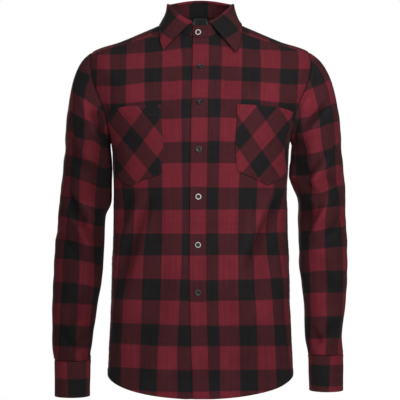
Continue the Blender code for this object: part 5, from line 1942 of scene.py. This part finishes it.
def grown(name, carrier, tree, settings):
    """The plain mesh that a geometry tree makes from a mesh of points or lines."""
    made = placed(name, carrier)
    modifier = made.modifiers.new("growth", "NODES")
    modifier.node_group = tree
    for socket in tree.interface.items_tree:
        if socket.in_out == "INPUT" and socket.name in settings:
            modifier[socket.identifier] = settings[socket.name]
    bpy.context.view_layer.update()
    data = bpy.data.meshes.new_from_object(made.evaluated_get(bpy.context.evaluated_depsgraph_get()))
    made.modifiers.clear()
    made.data = data
    data.name = name
    data.shade_smooth()
    print(name, "has", sum(len(face.vertices) - 2 for face in data.polygons), "triangles")
    return made


THREAD_TREE, SEATING_TREE = make_thread_tree(), make_seating_tree()

# %% Thread
def spun_thread(colour):
    """A matt twist that catches a little light along each ply."""

    def shader_inputs(tree):
        ply = fine_noise(tree, object_place(tree), 2600.0, 1.0)
        shades = [(*(share * np.array(colour)), 1.0) for share in (0.6, 1.35)]
        return {"Base Color": mix_colours(tree, ply, *shades), "Roughness": 0.62, "Sheen Weight": 0.1}

    return shader_inputs


SEAM_THREAD = make_finish("seam_thread", spun_thread((0.05, 0.014, 0.018)))
BUTTON_THREAD = make_finish("button_thread", spun_thread((0.06, 0.058, 0.056)))
seam_stitches = grown(
    "seam_stitches", points_and_lines("seam_lines", STITCH_LINES), THREAD_TREE, {"Finish": SEAM_THREAD}
)
print("stitched", round(sum(travelled(line)[-1] for line in STITCH_LINES), 1), "m of seam")

# %% Where buttons sit
# painted highlight on each button's rim, from none to full: the rim's colour is mixed towards pale pearl by
# this share
BUTTON_CARRIERS = {
    "neck_button": ("stand", 0.92), "front_button_1": ("band", 0.0), "front_button_2": ("band", 0.0),
    "front_button_3": ("band", 0.07), "front_button_4": ("band", 1.0), "front_button_5": ("band", 0.72),
    "front_button_6": ("band", 0.07), "cuff_button_left": ("cuff_left", 0.5),
    "cuff_button_right": ("cuff_right", 0.5),
}
BUTTON_CLEARANCE = 0.3 * MM
CARRIER_SURFACES.update(stand=stand, band=band)


def seat_on(surface, near):
    """The place below a point on a grid of cloth, and the cloth's normal there."""
    spots, outs = (part.reshape(-1, 3) for part in surface)
    best = int(np.argmin(np.linalg.norm(spots - near, axis=-1)))
    return near - ((near - spots[best]) @ outs[best]) * outs[best], outs[best]


button_feet, button_facings = [], []
for node, (carrier, _) in BUTTON_CARRIERS.items():
    low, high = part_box(node)
    foot, out = seat_on(CARRIER_SURFACES[carrier], 0.5 * (np.array(low) + np.array(high)))
    button_feet.append(foot + BUTTON_CLEARANCE * out)
    button_facings.append(out)
print("buttons to sew:", len(button_feet))

# %% Buttonholes
HOLE_LENGTH = 13.5 * MM
HOLE_HALF_WIDTH = 0.9 * MM
hole_lines, hole_facings = [], []
for (node, (carrier, _)), foot in zip(BUTTON_CARRIERS.items(), button_feet):
    surface = CARRIER_SURFACES[carrier]
    _, out = seat_on(surface, foot)
    up = unit(np.array([0.0, 0.0, 1.0]) - out[2] * out)
    long_way = -up if carrier == "band" else np.cross(up, out)
    cross_way = np.cross(long_way, out)
    line, facing = [], []
    for turn in np.linspace(0.0, 2.0 * math.pi, 49):
        reach = 0.5 * HOLE_LENGTH * (signed_power(math.cos(turn), 0.55) + 0.72)
        beside = HOLE_HALF_WIDTH * signed_power(math.sin(turn), 0.55)
        spot, out = seat_on(surface, foot + reach * long_way + beside * cross_way)
        line.append(spot + 0.1 * MM * out)
        facing.append(out)
    hole_lines.append(np.array(line))
    hole_facings.append(np.array(facing))
buttonholes = grown(
    "buttonhole_bars", points_and_lines("buttonhole_lines", hole_lines, hole_facings), THREAD_TREE,
    {"Finish": SEAM_THREAD, "Length": 1.5 * MM, "Width": 0.42 * MM, "Spacing": 0.5 * MM, "Across": 1.0},
)

# %% One button and its thread
BUTTON_RADIUS = 5.8 * MM
BUTTON_HEIGHT = 2.4 * MM
BUTTON_SIDES = 40
# share of the radius, share of the height, and whether it is the rim that takes the painted highlight
BUTTON_PROFILE = numbers("""
0.56 0 0  0.7 0 0  0.86 0.1 0  0.96 0.3 0  1 0.55 0  0.985 0.78 0  0.94 0.93 1
0.86 1 1  0.74 1 1  0.65 0.93 0  0.59 0.8 0  0.55 0.66 0  0.5 0.6 0
""", 3)
BUTTON_FLOOR = BUTTON_PROFILE[-1][1] * BUTTON_HEIGHT
HOLE_SPREAD = 1.25 * MM
HOLE_RADIUS = 0.72 * MM
HOLE_SIDES = 12
# any way that no tube runs along, to measure turns from
TUBE_GUIDE = np.array([0.31, 0.87, 0.38])


def add_ring(form, centre, radius, height, sides):
    turns = FULL_TURN * np.arange(sides) / sides
    spots = [(centre[0] + radius * math.cos(t), centre[1] + radius * math.sin(t), height) for t in turns]
    return [form.verts.new(spot) for spot in spots]


def close_band(form, low, high):
    for corners in zip(low, low[1:] + low[:1], high[1:] + high[:1], high):
        form.faces.new(corners)


def fill_flat(form, loops):
    edges = [form.edges.get(ends) for loop in loops for ends in zip(loop, loop[1:] + loop[:1])]
    bmesh.ops.triangle_fill(form, use_beauty=True, edges=edges)


def closed_mesh(form, name):
    bmesh.ops.recalc_face_normals(form, faces=form.faces)
    data = bpy.data.meshes.new(name)
    form.to_mesh(data)
    form.free()
    return data


def make_button_part():
    form = bmesh.new()
    rim = form.verts.layers.float.new("rim")
    rings = []
    for share, level, on_rim in BUTTON_PROFILE:
        rings.append(add_ring(form, (0.0, 0.0), share * BUTTON_RADIUS, level * BUTTON_HEIGHT, BUTTON_SIDES))
        for vert in rings[-1]:
            vert[rim] = on_rim
    for low, high in zip(rings, rings[1:]):
        close_band(form, low, high)
    tops, feet = [rings[-1]], [rings[0]]
    for across in (-HOLE_SPREAD, HOLE_SPREAD):
        for up in (-HOLE_SPREAD, HOLE_SPREAD):
            feet.append(add_ring(form, (across, up), HOLE_RADIUS, 0.0, HOLE_SIDES))
            tops.append(add_ring(form, (across, up), HOLE_RADIUS, BUTTON_FLOOR, HOLE_SIDES))
            close_band(form, feet[-1], tops[-1])
    fill_flat(form, tops)
    fill_flat(form, feet)
    return closed_mesh(form, "button_part")


def add_tube(form, line, radius, sides=7):
    """A closed tube along a line of points."""
    line = np.array(line, float)
    tangents = unit(np.gradient(line, axis=0))
    rings = []
    for spot, tangent in zip(line, tangents):
        first = unit(np.cross(tangent, TUBE_GUIDE))
        second = np.cross(tangent, first)
        turns = FULL_TURN * np.arange(sides) / sides
        spots = [spot + radius * (math.cos(turn) * first + math.sin(turn) * second) for turn in turns]
        rings.append([form.verts.new(spot) for spot in spots])
    for low, high in zip(rings, rings[1:]):
        close_band(form, low, high)
    form.faces.new(rings[0][::-1])
    form.faces.new(rings[-1])


def make_thread_part():
    """Two crossed loops of thread through the holes, and the shank under the button."""
    form = bmesh.new()
    for across, lift in ((1.0, 0.30), (-1.0, 0.62)):
        line = []
        for share in np.linspace(-1.0, 1.0, 9):
            rise = BUTTON_FLOOR + (lift * (1.0 - share**2) + 0.22) * MM if abs(share) < 0.99 else 0.3 * MM
            line.append((share * HOLE_SPREAD, across * share * HOLE_SPREAD, rise))
        add_tube(form, line, 0.3 * MM)
    add_tube(form, [(0.0, 0.0, level * MM) for level in (-1.1, -0.6, -0.1, 0.35)], 1.3 * MM, sides=12)
    return closed_mesh(form, "thread_part")


button_part = bpy.data.objects.new("button_part", make_button_part())
thread_part = bpy.data.objects.new("thread_part", make_thread_part())
print("one button has", len(button_part.data.polygons), "faces")

# %% Resin of the buttons
def dark_resin(tree):
    """Dark cast resin with a faint cloud, and a pale painted highlight on the rim, stronger on some buttons
    than others.
    """
    cloud = fine_noise(tree, object_place(tree), 420.0, 3.0, 0.6)
    resin = mix_colours(tree, cloud, (0.006, 0.006, 0.006, 1.0), (0.020, 0.018, 0.018, 1.0))
    painted_highlight = mix_colours(tree, cloud, (0.62, 0.58, 0.57, 1.0), (0.95, 0.90, 0.88, 1.0))
    # painted highlight: the rim's colour is mixed from dark resin towards pale pearl
    highlight_share = attribute(tree, "rim") * attribute(tree, "rim_highlight")
    return {
        "Base Color": mix_colours(tree, highlight_share, resin, painted_highlight),
        "Roughness": cloud.math("MULTIPLY_ADD", 0.12, 0.14), "Normal": bump(tree, cloud, 0.00004),
    }


RESIN = make_finish("dark_resin", dark_resin)
button_places = points_and_lines(
    "button_places", [np.array(button_feet)], [np.array(button_facings)],
    [rim_highlight for _, rim_highlight in BUTTON_CARRIERS.values()], joined_up=False,
)
buttons = grown("resin_buttons", button_places, SEATING_TREE, {"Part": button_part, "Finish": RESIN})
button_threads = grown(
    "button_threads", button_places.copy(), SEATING_TREE, {"Part": thread_part, "Finish": BUTTON_THREAD}
)
for source in (button_part, thread_part):
    bpy.data.objects.remove(source)


# %% [markdown]
# ## Floor, light and surroundings
# A tall soft light stands near the shirt on the wearer's left, a broad one farther off on the other
# side, one overhead and one behind. The surround looks white but lends the cloth only a little light,
# so the hollow neck and the insides of the sleeves stay dark.

# %% Studio
def area_light(name, place, aim, wide, high, watts):
    data = bpy.data.lights.new(name, "AREA")
    data.shape = "ELLIPSE"
    data.size, data.size_y = wide, high
    data.energy = watts
    lamp = placed(name, data)
    lamp.location = place
    way = np.array(aim, float) - np.array(place, float)
    lean, heading = math.acos(-way[2] / np.linalg.norm(way)), math.atan2(way[1], way[0])
    lamp.rotation_euler = (lean, 0.0, heading - 0.5 * math.pi)
    lamp.visible_camera = False


area_light("key", (0.50, -1.2, 0.20), (0.03, 0.0, -0.30), 0.5, 0.9, 11.2)
area_light("fill", (-0.9, -2.6, 0.2), (0.0, 0.0, -0.4), 1.0, 1.0, 13.4)
area_light("top", (0.2, -0.2, 1.9), (0.0, 0.0, -0.2), 1.2, 1.2, 7.0)
area_light("back", (-0.9, 2.6, 0.5), (0.0, 0.0, -0.35), 1.4, 1.4, 48.0)

world = bpy.data.worlds.new("studio")
world.use_nodes = True
bpy.context.scene.world = world
tree = world.node_tree
tree.nodes.clear()
white = add_node(tree, "ShaderNodeBackground", {"Strength": 1.0, "Color": (1.0, 1.0, 1.0, 1.0)}).outputs[0]
dim = add_node(tree, "ShaderNodeBackground", {"Strength": 0.10, "Color": (0.98, 0.99, 1.0, 1.0)}).outputs[0]
seen_by_lens = add_node(tree, "ShaderNodeLightPath").outputs["Is Camera Ray"]
either = add_node(tree, "ShaderNodeMixShader", {0: seen_by_lens, 1: dim, 2: white}).outputs[0]
add_node(tree, "ShaderNodeOutputWorld", {"Surface": either})

floor_finish = make_finish("pale_floor", lambda tree: {"Base Color": (0.92, 0.92, 0.92, 1.0), "Roughness": 0.9})
floor_data = bpy.data.meshes.new("floor")
corners = ((-2.4, -2.4), (2.4, -2.4), (2.4, 2.4), (-2.4, 2.4))
floor_data.from_pydata([(x, y, -1.15) for x, y in corners], [], [(0, 1, 2, 3)])
floor_data.materials.append(floor_finish)
placed("floor", floor_data)
bpy.context.scene.view_settings.view_transform = "Standard"
print("studio ready")


# %% [markdown]
# ## Which solid each piece stands for
# Every piece rides on the one body that the shirt has, and stands for its solid, which is hidden.
# Each sheet also gives the size that its visible cloth was cut to.

# %% Pieces and their solids
# piece: node, how it is held, and what it hangs from or lies on
SEWN_PIECES = {
    "yoke_cloth": ("yoke", "draped", ()),
    "front_left_cloth": ("front_left", "hung", ("yoke_cloth",)),
    "front_right_cloth": ("front_right", "hung", ("yoke_cloth",)),
    "front_band_cloth": ("front_band", "hung", ("front_left_cloth",)),
    "back_cloth": ("back_panel", "hung", ("yoke_cloth",)),
    "sleeve_left_cloth": ("sleeve_left", "hung", ("yoke_cloth",)),
    "sleeve_right_cloth": ("sleeve_right", "hung", ("yoke_cloth",)),
    "sleeve_placket_left_cloth": ("sleeve_placket_left", "laid", ("sleeve_left_cloth",)),
    "sleeve_placket_right_cloth": ("sleeve_placket_right", "laid", ("sleeve_right_cloth",)),
    "cuff_left_cloth": ("cuff_left", "hung", ("sleeve_left_cloth",)),
    "cuff_right_cloth": ("cuff_right", "hung", ("sleeve_right_cloth",)),
    "collar_stand_cloth": ("collar_stand", "hung", ("yoke_cloth",)),
    "collar_leaf_cloth": ("collar_leaf", "folded", ("collar_stand_cloth",)),
    "pocket_left_cloth": ("pocket_left", "laid", ("front_left_cloth",)),
    "pocket_right_cloth": ("pocket_right", "laid", ("front_right_cloth",)),
    "neck_label_tape": ("neck_label", "laid", ("yoke_cloth",)),
}
for name, (node, held, rests_on) in SEWN_PIECES.items():
    piece = PIECES[name]
    width, length, area = CUTS[name]
    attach(piece, "root")
    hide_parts(node)
    print(name, round(width, 3), "x", round(length, 3), "m,", round(area, 4), "m2")

# %% Buttons and thread
for piece, slot in (
    (buttons, "button_resin"), (button_threads, "check_flannel"),
    (seam_stitches, "check_flannel"), (buttonholes, "check_flannel"),
):
    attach(piece, "root")
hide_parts(*BUTTON_CARRIERS)
